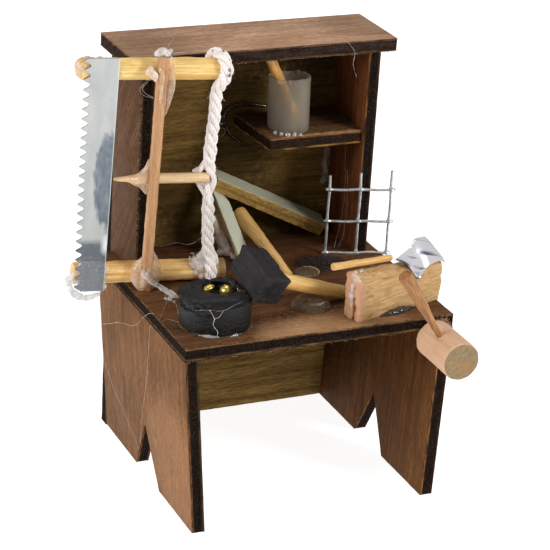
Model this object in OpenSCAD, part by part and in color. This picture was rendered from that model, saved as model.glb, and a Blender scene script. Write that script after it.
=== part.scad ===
// Miniature carpenter's bench with a roofed hutch and hand-made tools fixed on it.
// Millimetres. X runs to the right, Y to the back, Z up. The origin is on the floor, in the
// middle of the back board's foot. Inside bench_frame() X is measured from the left end of the
// bench top, Y from its front edge and Z from the floor.

/* [Boards] */
// Thickness of the plywood boards
ply = 3; // [2.6:0.1:3.4]
// Width of the bench top
bench_w = 63.3; // [62.5:0.1:66]
// Depth of the bench top, from its front edge to the back board
bench_d = 54.4; // [53.5:0.1:57]
// Height of the bench top's upper face above the floor
bench_h = 44.6; // [40:0.1:50]
// How far the left side panel's foot leans in
lean_left = 3.4; // [0:0.1:4]
// How far the right side panel's foot leans in
lean_right = 1.4; // [0:0.1:4]
// Width of the V notch between a side panel's feet
notch_w = 14.3; // [8:0.1:20]
// Height of the V notch
notch_h = 13.4; // [8:0.1:20]

/* [Hutch] */
// Height of the hutch, from the bench top to the underside of the roof
hutch_h = 48.5; // [47.8:0.1:50]
// Depth of the hutch side panels
hutch_d = 16.2; // [15.8:0.1:17]
// How far the hutch and the back board stand in from the ends of the bench top
hutch_inset = 3; // [2.6:0.1:3.6]
// How far the roof board runs past the hutch at the front
roof_front = 0.6; // [0.2:0.1:1]
// Length of the shelf's front edge
shelf_w = 22.8; // [20:0.1:24]
// Height of the shelf's upper face above the bench top, at the back
shelf_h = 30.7; // [30:0.1:31.4]
// How much the shelf drops from the back to the front
shelf_drop = 1; // [0:0.1:1.5]

/* [Bow saw] */
// Diameter of the saw's two rods
rod_d = 4.8; // [4.2:0.1:5]
// Distance between the axes of the two rods
saw_span = 46.7; // [46.2:0.1:46.9]
// Thickness of the square stretcher
slat_t = 2.6; // [2.2:0.1:2.8]
// Width of the saw blade, teeth included
blade_w = 6.6; // [5.4:0.1:7.2]
// Pitch of the saw teeth
tooth_pitch = 2.15; // [1.8:0.05:2.6]
// Diameter of the twisted cord
cord_d = 2.5; // [2:0.1:2.6]

/* [Hand tools] */
// Diameter of the charcoal pot
pot_d = 15.5; // [15:0.1:16]
// Height of the charcoal pot
pot_h = 7.1; // [6.6:0.1:7.6]
// Side of the hammer head's square section
hammer_t = 6.5; // [6:0.1:6.8]
// Length of the hammer head
hammer_l = 12; // [11:0.1:13]
// Thickness of the try square's stock
stock_t = 3.2; // [2.8:0.1:3.4]
// Diameter of the mallet head
mallet_d = 8.2; // [7.6:0.1:8.6]
// Length of the mallet head
mallet_l = 13.2; // [12:0.1:15]
// Length of the chopping log
log_l = 24; // [23:0.1:25]
// Outer diameter of the jar
jar_d = 9.5; // [9:0.1:10]
// Height of the jar
jar_h = 13; // [11:0.1:14]

/* [Hidden] */
$fn = 48;
seat = 0.05;               // glue film between curved pieces
far = 200;                 // longer than anything, for cutting spaces

plywood = "#6b4a34";
plywood_dark = "#4a3020";
plywood_olive = "#5a4a28";
bamboo = "#d9b45a";
stained = "#a86a30";
pale_wood = "#d8b888";
charcoal = "#2c2c2e";
bright = "#b9bec4";
cotton = "#f0ece4";

leg_h = bench_h - ply;
roof_z = bench_h + hutch_h;
hutch_y = bench_d - hutch_d;                  // front edges of the hutch panels
hutch_left = hutch_inset;                     // outer faces of the hutch
hutch_right = bench_w - hutch_inset;
bay_right = hutch_right - ply;                // inner face of the right hutch panel
roof_left = 2.8;                              // overhangs past the hutch's outer faces
roof_right = 3.6;
roof_y = hutch_y - roof_front;

// Shelf: drops to the front, with its free end cut askew
shelf_d = 15.6;
shelf_skew = 2.4;
shelf_tilt = atan(shelf_drop / shelf_d);

// Bow saw: a square frame, turned and leaned against the roof's front corner
saw_yaw = -5.7;
saw_roll = 2.35;
rod_r = rod_d / 2;
saw_x = hutch_left + 1;
saw_y = roof_y - (rod_r + seat) / cos(saw_yaw) + (saw_x - hutch_left + roof_left) * tan(saw_yaw);
saw_z = bench_h + 49.9;
top_rod = [-15.7, 16.8];
bottom_rod = [-14.7, 18.8];
slat_u = 1.1;
slat_top = 3.9;
slat_v = -rod_r - seat - slat_t / 2;
slat_foot = -(saw_z - slat_u * sin(saw_roll) - bench_h) / cos(saw_roll)
          + slat_t / 2 * tan(saw_roll) + seat;
blade_t = 0.3;
blade_u = -8;                                 // plain edge of the blade
blade_z = [-50, 3.2];
blade_bow = 0.9;                              // how far the toothed edge bows out
tooth_h = 1.2;
toggle_d = 2.3;
toggle_w = -24.5;
toggle_v = toggle_d / 2 - rod_r;              // a glue film behind the stretcher
toggle_u = [-7.1, -2.2, 14.2];                // point, shoulder, blunt end
cord_r = cord_d / 2;
wrap_u = [15.2, 17];                          // where the cord goes round each rod
wrap_t = (wrap_u[0] - cord_r + saw_x - hutch_left + roof_left) * sin(-saw_yaw) - seat;
wrap_r = rod_r + seat + wrap_t / 2;           // pressed flat between the top rod and the roof
wrap_rise = saw_z - saw_span * cos(saw_roll) - wrap_u[1] * sin(saw_roll) - bench_h - 2 * seat;
wrap_open = acos(wrap_rise / (wrap_r + wrap_t / 2));  // the lower wrap stops at the bench top
split_r = 0.8;
fork_h = 4;                                   // from the toggle to where the cord's strands part
cord_sides = 8;

// Charcoal pot
pot_x = 11;
pot_y = 10.9;
hollow_d = 7.6;
hollow_h = 4;
hollow_wall = 0.9;                            // thinnest wall, at the back
hollow_turn = 51.6;                           // which way the hollow lies off centre
hollow_out = (pot_d - hollow_d) / 2 - hollow_wall;
fill_depth = 2;                               // from the rim down to the fill
fill_gap = 0.1;

// Hammer: its head lies on the pot's rim, its handle runs down to the bench
handle_l = 21.7;
handle_r = [1.7, 1.4];
head_lift = 3.2;                              // head's centre above the pot's rim
head_at = [pot_x + 9.7, pot_y - 0.7, bench_h + pot_h + head_lift + (hammer_t - 6.5) / 2];
handle_end_z = bench_h + 1.55;
hammer_pitch = asin((head_at.z - handle_end_z) / (hammer_t / 2 + handle_l));
hammer_roll = 14.8;
hammer_yaw = 10.5;

// Try square: its stock is glued to the back board and comes down to the bench top
stock_l = 32;
stock_d = 5;
stock_slope = 27.2;
stock_tilt = 14;
stock_dip = stock_d * sin(stock_tilt);        // how far its front edge hangs down
stock_x = bay_right - 31.6;
stock_z = bench_h + seat + stock_l * sin(stock_slope) + stock_dip * cos(stock_slope);
arm_w = 2.9;
arm_t = 1.2;
arm_out = 15.8;                               // arm's foot to the back board
arm_foot = 4.5;                               // arm's foot to the stock's left end
arm_head = 0.9;
arm_in = 3.6;                                 // arm's head to the back board

// Wire grid, standing beside the right hutch panel
wire_d = 0.64;
mesh = [7.2, 7.8];
grid_yaw = -16;

// Chopping log and axe
log_yaw = 15;
log_d = 4.8;
log_x = bench_w - 22.6 - (log_l - 24);
log_y = 1.9;
cleft_s = log_l - 7.8;
axe_t = 0.5;
axe_slope = 28.9;

// Mallet, glued by the end of its head to the front of the bench
mallet_x = bench_w - 4.8;
mallet_z = bench_h - 5;
mallet_lean = 32;
mallet_handle_l = 18.6;
mallet_handle_w = [1.6, 2.8];

// Jar
jar_wall = 0.6;
jar_floor = 0.8;
jar_back = 9.8;                               // jar's axis to the back board
jar_side = 16.6;                              // jar's axis to the right hutch panel
jar_x = bay_right - jar_side;
jar_z = bench_h + shelf_h - jar_back * tan(shelf_tilt);
jar_stick_d = 1.8;
jar_stick_gap = 0.3;                          // under the roof

module bench_frame() {
  translate([-bench_w / 2, -bench_d - ply / 2, 0]) children();
}

// Profile in the X-Z plane, extruded from the front edge to the back
module extrude_y(depth) {
  translate([0, depth, 0]) rotate([90, 0, 0]) linear_extrude(depth) children();
}

// Profile in the Y-Z plane, extruded along X
module extrude_x(length) {
  rotate([90, 0, 90]) linear_extrude(length) children();
}

// Round bar from a to b, r1 at a and r2 at b
module bar(a, b, r1, r2) {
  run = b - a;
  h = norm(run);
  translate(a) rotate([0, acos(run.z / h), atan2(run.y, run.x)]) cylinder(h = h, r1 = r1, r2 = r2);
}

// Board with a leaning foot and a V notch between its two feet
module side_panel(lean) {
  difference() {
    extrude_y(bench_d)
      polygon([[lean, 0], [lean + ply, 0], [ply, leg_h], [0, leg_h]]);
    translate([-1, bench_d / 2, 0]) extrude_x(ply + lean + 2)
      polygon([[-notch_w * 0.55, -notch_h * 0.1], [notch_w * 0.55, -notch_h * 0.1], [0, notch_h]]);
  }
}

module left_side_panel() {
  color(plywood) bench_frame() side_panel(lean_left);
}

module right_side_panel() {
  color(plywood) bench_frame() translate([bench_w, 0, 0]) mirror([1, 0, 0]) side_panel(lean_right);
}

module bench_top() {
  color(plywood_dark) bench_frame() translate([0, 0, leg_h]) cube([bench_w, bench_d, ply]);
}

module back_board() {
  color(plywood_olive) bench_frame() translate([hutch_left, bench_d, 0])
    cube([hutch_right - hutch_left, ply, roof_z]);
}

module hutch_panel(x) {
  color(plywood) bench_frame() translate([x, hutch_y, bench_h]) cube([ply, hutch_d, hutch_h]);
}

module left_hutch_panel() {
  hutch_panel(hutch_left);
}

module right_hutch_panel() {
  hutch_panel(bay_right);
}

module roof_board() {
  color(plywood) bench_frame() translate([hutch_left - roof_left, roof_y, roof_z])
    cube([hutch_right - hutch_left + roof_left + roof_right, hutch_d + roof_front + ply, ply]);
}

module shelf_board() {
  color(plywood) bench_frame() intersection() {
    translate([bay_right, bench_d, 0]) linear_extrude(far)
      polygon([[0, 0], [-shelf_w - shelf_skew, 0], [-shelf_w, -shelf_d], [0, -shelf_d]]);
    translate([0, bench_d, bench_h + shelf_h]) extrude_x(far)
      polygon([[0, 0], [0, -ply], [-shelf_d, -ply - shelf_drop], [-shelf_d, -shelf_drop]]);
  }
}

// Saw's own frame: X along the rods, Z up the stretcher, the origin on the top rod's axis
module saw_frame() {
  bench_frame() translate([saw_x, saw_y, saw_z]) rotate([0, saw_roll, saw_yaw]) children();
}

module saw_rod(span, z) {
  color(bamboo) saw_frame() translate([span[0], 0, z]) rotate([0, 90, 0])
    cylinder(h = span[1] - span[0], r = rod_r);
}

module saw_top_rod() {
  saw_rod(top_rod, 0);
}

module saw_bottom_rod() {
  saw_rod(bottom_rod, -saw_span);
}

module saw_stretcher() {
  color("#d09a6a") saw_frame() translate([slat_u - slat_t / 2, slat_v - slat_t / 2, slat_foot])
    cube([slat_t, slat_t, slat_top - slat_foot]);
}

module saw_blade() {
  teeth = floor((blade_z[1] - blade_z[0]) / tooth_pitch);
  root = blade_u - blade_w + tooth_h;
  edge = [for (i = [0 : 2 * teeth])
            [root - (i % 2) * tooth_h - blade_bow * sin(90 * i / teeth),
             blade_z[0] + i * tooth_pitch / 2]];
  color(bright) saw_frame() translate([0, -rod_r - seat, 0]) rotate([90, 0, 0])
    linear_extrude(blade_t)
      polygon(concat([[blade_u, blade_z[0]]], edge, [[root, blade_z[1]], [blade_u, blade_z[1]]]));
}

module saw_toggle() {
  color("#dcb98c") saw_frame() translate([0, toggle_v, toggle_w]) rotate([0, 90, 0])
    rotate_extrude()
      polygon([[0, toggle_u[0]], [0.15, toggle_u[0]], [toggle_d / 2, toggle_u[1]],
               [toggle_d / 2, toggle_u[2]], [0, toggle_u[2]]]);
}

// One turn of the cord round a rod, left open by this angle each side of its lowest point
module cord_wrap(u, z, open) {
  translate([u, 0, z]) rotate([0, 90, 0]) rotate([0, 0, open])
    rotate_extrude(angle = 360 - 2 * open, $fn = 24)
      translate([wrap_r, 0]) scale([wrap_t / cord_d, 1]) circle(cord_r, $fn = cord_sides);
}

// Straight run of cord with round ends
module cord_leg(a, b, r) {
  bar(a, b, r, r, $fn = cord_sides);
  translate(a) sphere(r, $fn = cord_sides);
  translate(b) sphere(r, $fn = cord_sides);
}

module saw_cord() {
  v = -cord_r;
  hang = rod_r + seat + cord_r;
  top = [wrap_u[0] - 0.6, v, -hang];
  fork = [14, v, toggle_w + fork_h];
  join = [14.4, v, toggle_w - fork_h];
  foot = [wrap_u[1] - 0.2, v, hang - saw_span];
  behind = [11.8, toggle_v + toggle_d / 2 + split_r + 0.5, toggle_w];
  beyond = [toggle_u[2] + split_r + 0.5, v, toggle_w];
  color(cotton) saw_frame() union() {
    cord_wrap(wrap_u[0], 0, 0);
    cord_wrap(wrap_u[1], -saw_span, wrap_open);
    cord_leg(top, fork, cord_r);
    cord_leg(join, foot, cord_r);
    for (side = [behind, beyond]) {
      cord_leg(fork, side, split_r);
      cord_leg(side, join, split_r);
    }
  }
}

// Frame of the pot's hollow, which lies off centre: the origin is in the middle of its floor
module hollow_frame() {
  bench_frame() translate([pot_x, pot_y, bench_h + pot_h - hollow_h])
    translate(hollow_out * [cos(hollow_turn), sin(hollow_turn), 0]) children();
}

module charcoal_pot() {
  color(charcoal) difference() {
    bench_frame() translate([pot_x, pot_y, bench_h]) cylinder(h = pot_h, r = pot_d / 2);
    hollow_frame() cylinder(h = pot_h, r = hollow_d / 2);
  }
}

module ember_fill() {
  color("#1c1a1a") hollow_frame() cylinder(h = hollow_h - fill_depth, r = hollow_d / 2 - fill_gap);
}

module gold_beads() {
  color("gold") hollow_frame() translate([0, 0, hollow_h - fill_depth]) {
    translate([0.8, -0.5, 1.3]) sphere(1.3);
    translate([-2.3, 1.2, 1]) sphere(1);
  }
}

// Hammer's own frame: X along the handle, Y along the head, the origin in the head's middle
module hammer_frame() {
  bench_frame() translate(head_at) rotate([hammer_roll, hammer_pitch, hammer_yaw]) children();
}

module hammer_head() {
  color(charcoal) hammer_frame() cube([hammer_t, hammer_l, hammer_t], center = true);
}

module hammer_handle() {
  color(bamboo) hammer_frame() translate([hammer_t / 2, 0, 0]) rotate([0, 90, 0])
    cylinder(h = handle_l, r1 = handle_r[0], r2 = handle_r[1]);
}

module pointed_stick() {
  tip = [stock_x + 10.7, bench_d - 26.4, bench_h + 0.85];
  butt = [stock_x + 5.8, bench_d - 6.6, bench_h + 8.9];
  color(bamboo) bench_frame() bar(tip, butt, 0.7, 1.7);
}

// Frame of the square's stock: X down its length, Y into the back board, Z up its thickness
module stock_frame() {
  translate([stock_x, bench_d - seat, stock_z])
    rotate([0, stock_slope, 0]) rotate([stock_tilt, 0, 0]) children();
}

module square_stock() {
  color("#9c8440") bench_frame() stock_frame()
    translate([0, -stock_d, 0]) cube([stock_l, stock_d, stock_t]);
}

module square_blade() {
  head = [stock_x + arm_head, bench_d - arm_in, stock_z];
  foot = [stock_x + arm_foot, bench_d - arm_out, bench_h];
  run = head - foot;
  lean = atan2(run.y, run.z);
  side = atan2(-run.x, norm([run.y, run.z]));
  color("#9a9c84") bench_frame() difference() {
    translate(foot) rotate([-lean, 0, 0]) rotate([0, -side, 0])
      translate([-arm_w / 2, -arm_t / 2, -4]) cube([arm_w, arm_t, norm(run) + 8]);
    stock_frame() translate([-far / 2, -far / 2, 0]) cube([far, far, far]);
    translate([0, 0, bench_h - far]) cube([far, far, far]);
  }
}

module wire_grid() {
  r = wire_d / 2;
  across = 2 * mesh[0] + 1.8;
  foot = [bay_right - 7.8, hutch_y + 1.5, bench_h];
  color(bright) bench_frame() translate(foot) rotate([0, 0, grid_yaw]) union() {
    for (i = [0 : 2])
      translate([0.9 + i * mesh[0], r * 0.8, 0])
        cylinder(h = 2 * mesh[1] + 3.6 + 0.6 * i, r = r);
    for (k = [0 : 2])
      translate([0, -r * 0.8, r + k * mesh[1]]) rotate([0, 90, 0]) cylinder(h = across, r = r);
  }
}

// Log's own frame: X along the log, Y to its back, Z up, the origin at its front left foot
module log_frame() {
  bench_frame() translate([log_x, log_y, bench_h]) rotate([0, 0, log_yaw]) children();
}

module chopping_log() {
  color(pale_wood) log_frame() difference() {
    extrude_y(log_d)
      polygon([[0, 0], [log_l - 0.3, 0], [log_l, 3.5], [log_l, 12], [0, 12]]);
    translate([-1, 0, 9.2]) rotate([14, 4, 0]) translate([0, -far / 2, 0])
      cube([cleft_s + 1.2, far, far]);
    translate([cleft_s, 0.2, 8.75]) rotate([axe_slope, 0, 0]) translate([0, -far / 2, 0])
      cube([far, far, far]);
    translate([cleft_s, -1, 6.4]) extrude_y(log_d + 2)
      polygon([[0, 0], [1.2, 6], [-1, 6]]);
  }
}

module axe_handle() {
  color(bamboo) log_frame()
    bar([log_l - 27.6, 5.5, 11.9], [log_l - 11.8, 4.1, 11.15], 0.8, 0.7);
}

module axe_head() {
  outline = [[-11.6, 3.6], [-5.8, 6], [-3, 7.7], [0.2, 7.6], [1.5, 5.6], [1, 0.7], [0, -0.6],
             [-0.8, 0.2], [-2.8, 0.2], [-5.4, -0.3], [-7.6, -0.8], [-8.9, 1.7]];
  color(bright) log_frame() translate([log_l, 0.2, 8.85]) rotate([axe_slope, 0, 0])
    linear_extrude(axe_t) polygon(outline);
}

module mallet_head() {
  color("#e0b898") bench_frame() translate([mallet_x, -seat, mallet_z]) rotate([90, 0, 0])
    cylinder(h = mallet_l, r = mallet_d / 2);
}

module mallet_handle() {
  w0 = mallet_handle_w[0] / 2;
  w1 = mallet_handle_w[1] / 2;
  top = mallet_d / 2 + mallet_handle_l;
  taper = [[-w0, 0], [w0, 0], [w1, top], [-w1, top]];
  color(stained) bench_frame() translate([mallet_x, -mallet_l / 2, mallet_z]) difference() {
    rotate([0, -mallet_lean, 0]) intersection() {
      translate([0, -far / 2, 0]) extrude_y(far) polygon(taper);
      translate([-far / 2, 0, 0]) extrude_x(far) polygon(taper);
    }
    translate([0, far / 2, 0]) rotate([90, 0, 0]) cylinder(h = far, r = mallet_d / 2 + seat);
  }
}

module shelf_frame() {
  bench_frame() translate([jar_x, bench_d - jar_back, jar_z]) rotate([shelf_tilt, 0, 0]) children();
}

module jar() {
  color("#dfe6ea", 0.6) shelf_frame() translate([0, 0, seat]) difference() {
    cylinder(h = jar_h, r = jar_d / 2);
    translate([0, 0, jar_floor]) cylinder(h = jar_h, r = jar_d / 2 - jar_wall);
  }
}

module jar_stick() {
  r = jar_stick_d / 2;
  inside = jar_d / 2 - jar_wall - 2 * r - seat;
  foot = [inside + 0.4, 0, seat + jar_floor + r * 0.6];
  rim = [-inside, 0, jar_h];
  lean = atan2(foot.x - rim.x, rim.z - foot.z);
  rise = (roof_z - jar_z - jar_stick_gap) / cos(shelf_tilt) - foot.z - r * sin(lean);
  color(bamboo) shelf_frame() bar(foot, foot + [-rise * tan(lean), 0, rise], r, r);
}

// Dome of glue, r wide at the bench and h high
module dome(r, h) {
  arc = [for (a = [0 : 15 : 75]) [r * cos(a), h * sin(a)]];
  rotate_extrude() polygon(concat([[0, 0]], arc, [[0, h]]));
}

module hammer_glue_pad() {
  color("#cfc9bb", 0.7) bench_frame() translate([head_at.x + 13.7, head_at.y + 2.6, bench_h])
    dome(4.4, 2.7);
}

module glue_disc() {
  color("#d8d2c4", 0.6) bench_frame() translate([stock_x + 15.6, bench_d - 24.2, bench_h])
    dome(3.1, 0.8);
}

left_side_panel();
right_side_panel();
bench_top();
back_board();
left_hutch_panel();
right_hutch_panel();
roof_board();
shelf_board();
saw_top_rod();
saw_bottom_rod();
saw_stretcher();
saw_blade();
saw_toggle();
saw_cord();
charcoal_pot();
ember_fill();
gold_beads();
hammer_head();
hammer_handle();
pointed_stick();
square_stock();
square_blade();
wire_grid();
chopping_log();
axe_handle();
axe_head();
mallet_head();
mallet_handle();
jar();
jar_stick();
hammer_glue_pad();
glue_disc();
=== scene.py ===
# %% [markdown]
# # A miniature carpenter's bench
#
# The real thing is a hand-made display piece, about as tall as a coffee cup. Its boards are laser-cut
# plywood stained walnut, and small carpenter's tools made of bamboo, string, foil and black-painted
# wood are stuck on it with a hot-glue gun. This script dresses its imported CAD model.

# %% Frame
import math
import random

import bmesh
import bpy
import numpy as np
from mathutils import Matrix, Vector, noise


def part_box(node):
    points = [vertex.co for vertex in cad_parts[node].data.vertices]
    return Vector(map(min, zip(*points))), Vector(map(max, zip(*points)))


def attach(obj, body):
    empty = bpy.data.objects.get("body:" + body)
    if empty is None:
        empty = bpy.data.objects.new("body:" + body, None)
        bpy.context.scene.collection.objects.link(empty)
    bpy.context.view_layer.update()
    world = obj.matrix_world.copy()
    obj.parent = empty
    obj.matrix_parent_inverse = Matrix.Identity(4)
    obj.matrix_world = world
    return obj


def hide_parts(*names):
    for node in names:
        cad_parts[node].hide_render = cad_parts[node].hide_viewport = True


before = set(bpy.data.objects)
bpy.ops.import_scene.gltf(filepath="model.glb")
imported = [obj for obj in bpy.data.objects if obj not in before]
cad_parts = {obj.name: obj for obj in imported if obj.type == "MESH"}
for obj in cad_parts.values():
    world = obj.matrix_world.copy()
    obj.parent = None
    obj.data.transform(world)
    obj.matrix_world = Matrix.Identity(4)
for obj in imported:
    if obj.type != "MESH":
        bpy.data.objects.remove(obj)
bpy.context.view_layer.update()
MM = 0.001
random.seed(11)
noise.seed_set(11)
print(len(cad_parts), "CAD nodes")

# %% [markdown]
# ## Places
#
# The bench is measured in millimetres from the bench top's left front corner, with heights from the
# floor. at() turns such a place into the frame's metres. The saw, the log, the hammer and the square's
# stock stand at an angle, so each has a frame of its own: on() turns a place on the tool into a place in
# the room, and pointing() does the same for a direction.

# %% Places on the bench and on its tools
bench_lo, bench_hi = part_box("bench_top")
TOP = bench_hi.z / MM
PLY = 3
WIDTH = (bench_hi.x - bench_lo.x) / MM
DEPTH = (bench_hi.y - bench_lo.y) / MM


def at(x, y, z):
    """A place on the bench, in metres."""
    return Vector((bench_lo.x + x * MM, bench_lo.y + y * MM, z * MM))


def turned(degrees, axis):
    """A turn about an axis, as a matrix."""
    return Matrix.Rotation(math.radians(degrees), 4, axis)


def leaning_frame(x, y, z, yaw=0.0, pitch=0.0, roll=0.0):
    """A tool's own frame: at a place on the bench, rolled about X, pitched about Y, turned about Z."""
    return Matrix.Translation(at(x, y, z)) @ turned(yaw, "Z") @ turned(pitch, "Y") @ turned(roll, "X")


SQUARE_X, STOCK_TOP = 25.7, 60.3
BENCH = leaning_frame(0, 0, 0)
SAW = leaning_frame(4.0, 34.76, TOP + 49.9, -5.7, 2.35)
LOG = leaning_frame(40.7, 1.9, TOP, 15.0)
HAMMER = leaning_frame(20.7, 10.2, TOP + 10.3, 10.5, 20.4, 14.8)
STOCK = leaning_frame(SQUARE_X, DEPTH - 0.05, STOCK_TOP, 0, 27.2) @ turned(14, "X")


def on(tool, x, y, z):
    """A place in a tool's own frame, in mm, as a place in the room."""
    return tool @ (Vector((x, y, z)) * MM)


def pointing(tool, x, y, z):
    """A direction in a tool's own frame, as a direction in the room."""
    return tool.to_3x3() @ Vector((x, y, z))


saw_along, saw_out, saw_up = pointing(SAW, 1, 0, 0), pointing(SAW, 0, 1, 0), pointing(SAW, 0, 0, 1)
print("bench top", round(WIDTH, 1), "x", round(DEPTH, 1), "mm at", round(TOP, 1), "mm")

# %% [markdown]
# ## Hands
#
# A few small helpers stand in for the modeller's hands: one makes an object the only selected one,
# one applies a modifier, one eases sharp edges, and one copies a CAD node's shape as a clean mesh to
# work on. The copy is merged first, because a CAD node's mesh is loose triangles.

# %% Selecting, applying and copying
ONE_POINT = 0.003 * MM  # corners closer together than this are merged


def alone(obj):
    """Makes obj the only selected and the active object."""
    bpy.ops.object.select_all(action="DESELECT")
    obj.select_set(True)
    bpy.context.view_layer.objects.active = obj
    return obj


def finish_with(obj, kind, **settings):
    """Adds a modifier with these settings and applies it."""
    alone(obj)
    mod = obj.modifiers.new(kind.lower(), kind)
    for key, value in settings.items():
        setattr(mod, key, value)
    bpy.ops.object.modifier_apply(modifier=mod.name)
    return obj


def ease_edges(obj, width, segments, angle=60):
    """Bevels, width in mm, the edges that turn by more than this angle in degrees."""
    return finish_with(obj, "BEVEL", width=width * MM, segments=segments, limit_method="ANGLE",
                       angle_limit=math.radians(angle))


def pick(obj, mode="FACE", wanted=lambda part: True):
    """Opens obj in edit mode with only the wanted faces or edges selected. wanted is a test."""
    alone(obj)
    parts = obj.data.polygons if mode == "FACE" else obj.data.edges
    chosen = [part.index for part in parts if wanted(part)]
    bpy.ops.object.mode_set(mode="EDIT")
    bpy.ops.mesh.select_mode(type=mode)
    bpy.ops.mesh.select_all(action="DESELECT")
    bpy.ops.object.mode_set(mode="OBJECT")
    for i in chosen:
        parts[i].select = True
    bpy.ops.object.mode_set(mode="EDIT")


def leave():
    """Goes back to object mode."""
    bpy.ops.object.mode_set(mode="OBJECT")


def node_copy(node, name):
    """A new piece with a CAD node's shape: triangles merged, and flat faces made whole again."""
    obj = bpy.data.objects.new(name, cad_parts[node].data.copy())
    bpy.context.collection.objects.link(obj)
    pick(obj)
    bpy.ops.mesh.remove_doubles(threshold=ONE_POINT)
    bpy.ops.mesh.select_all(action="SELECT")
    bpy.ops.mesh.dissolve_limited(angle_limit=math.radians(0.5))
    leave()
    return obj


def join(name, *objs):
    """Joins several objects into one piece of this name."""
    bpy.ops.object.select_all(action="DESELECT")
    for o in objs:
        o.select_set(True)
    bpy.context.view_layer.objects.active = objs[0]
    bpy.ops.object.join()
    objs[0].name = name
    return objs[0]


def fix_in_place(obj):
    """Puts an object's place into its mesh, as a CAD node's is."""
    alone(obj)
    bpy.ops.object.transform_apply(location=True, rotation=True, scale=True)
    return obj


# %% [markdown]
# ## Worn surfaces
#
# Nothing here came from a mould. Rods are split bamboo, blocks are cut with a knife, and glue sets as
# it falls. roughen() pushes a surface in and out with a cloud pattern of a stated grain, which is how
# Blender's Displace modifier does it, and reskin() first gives a block an even skin of small faces.

# %% Roughening
def roughen(obj, depth, grain):
    """Moves the surface in and out by up to half of depth, in lumps of size grain, both in mm."""
    clouds = bpy.data.textures.new("clouds", "CLOUDS")
    clouds.noise_scale = grain * MM
    clouds.noise_depth = 1
    return finish_with(obj, "DISPLACE", texture=clouds, texture_coords="LOCAL", strength=depth * MM,
                       mid_level=0.5)


def reskin(obj, size, smooth=1):
    """Gives a closed block an even skin of faces of this size in mm, with its corners eased."""
    finish_with(obj, "REMESH", mode="VOXEL", voxel_size=size * MM)
    return finish_with(obj, "SMOOTH", factor=0.5, iterations=smooth)


def carve(obj, tool, sizes, depth, layers=1, keep=None):
    """Moves the surface in and out by up to depth in mm, in ridges of these sizes along the tool's axes."""
    home = tool.inverted()
    normals = [v.normal.copy() for v in obj.data.vertices]
    for v, normal in zip(obj.data.vertices, normals):
        place = home @ v.co / MM
        if keep is None or keep(place):
            spot = Vector([c / size for c, size in zip(place, sizes)])
            v.co += normal * noise.fractal(spot, 0.8, 2.1, layers) * depth * MM
    return obj


def settle(obj, finish, slot, *nodes, smooth=40):
    """Gives a finished piece its material and body, and hides the CAD nodes it stands for. slot is not used.
    """
    obj.data.materials.clear()
    obj.data.materials.append(finish)
    alone(obj)
    bpy.ops.object.shade_smooth_by_angle(angle=math.radians(smooth))
    if nodes:
        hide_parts(*nodes)
    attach(obj, "root")
    print(obj.name, len(obj.data.polygons), "faces")
    return obj


# %% [markdown]
# ## Camera, floor and light
#
# The bench is seen from its front left corner and from a little above, through a long lens. The floor
# is plain and pale, and three large soft lamps light it as a light tent would: the strongest stands
# square on the left side, a smaller one in front and to the right, and a weak one lights the roof from
# above. The inside of the right panels so stays dark, and the tools' shadows fall leftwards. Painted
# shade and painted shadows on the boards deepen both.

# %% Camera
VIEW_FROM = at(-161.7, -385.7, 240.6)
VIEW_YAW, VIEW_PITCH, VIEW_ROLL = 25.15, 23.06, 3.5
LENS = 145.2

bpy.ops.object.camera_add(location=VIEW_FROM)
camera = bpy.context.object
camera.data.lens = LENS
camera.data.sensor_width = 36
camera.data.clip_start = 0.01
look = turned(-VIEW_YAW, "Z") @ turned(90 - VIEW_PITCH, "X")
camera.matrix_world = Matrix.Translation(VIEW_FROM) @ look @ turned(VIEW_ROLL, "Z")
bpy.context.scene.camera = camera
print("camera looks down by", VIEW_PITCH, "degrees through a lens of", LENS, "mm")

# %% Floor and lamps
bpy.ops.mesh.primitive_plane_add(size=4, location=(0, 0, 0))
floor = bpy.context.object
floor.name = "floor"

world = bpy.data.worlds.new("tent")
bpy.context.scene.world = world
world.use_nodes = True
world.node_tree.nodes["Background"].inputs["Color"].default_value = (1.0, 0.99, 0.97, 1)
world.node_tree.nodes["Background"].inputs["Strength"].default_value = 0.32
bpy.context.scene.view_settings.view_transform = "Standard"


def lamp(name, x, y, z, size, watts, tint=(1, 1, 1)):
    """A square soft lamp that looks at the middle of the bench."""
    place = Vector((x, y, z))
    aim = Vector((0, -0.03, 0.05)) - place
    bpy.ops.object.light_add(type="AREA", location=place, rotation=aim.to_track_quat("-Z", "Y").to_euler())
    light = bpy.context.object
    light.name = name
    light.data.size = size
    light.data.energy = watts
    light.data.color = tint
    print("lamp", name, watts, "W")


lamp("left", -0.66, -0.12, 0.36, 0.32, 4.0, (1.0, 0.98, 0.96))
lamp("right", 0.46, -0.53, 0.36, 0.22, 4.3)
lamp("top", 0.05, 0.12, 0.62, 0.4, 0.9)

# %% [markdown]
# ## Materials
#
# Each finish is built from nodes by one function, add(). Colours are written as sRGB hex, as a colour
# picker gives them, and paint() turns them into the linear numbers that Blender works in. Patterns
# read Object coordinates, scaled to millimetres, so that a fibre is as wide here as on the real piece.

# %% Colours and nodes
def paint(code):
    """An sRGB hex colour as linear numbers."""
    rgb = [int(code[i : i + 2], 16) / 255 for i in (1, 3, 5)]
    return tuple(c / 12.92 if c <= 0.04045 else ((c + 0.055) / 1.055) ** 2.4 for c in rgb) + (1.0,)


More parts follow.
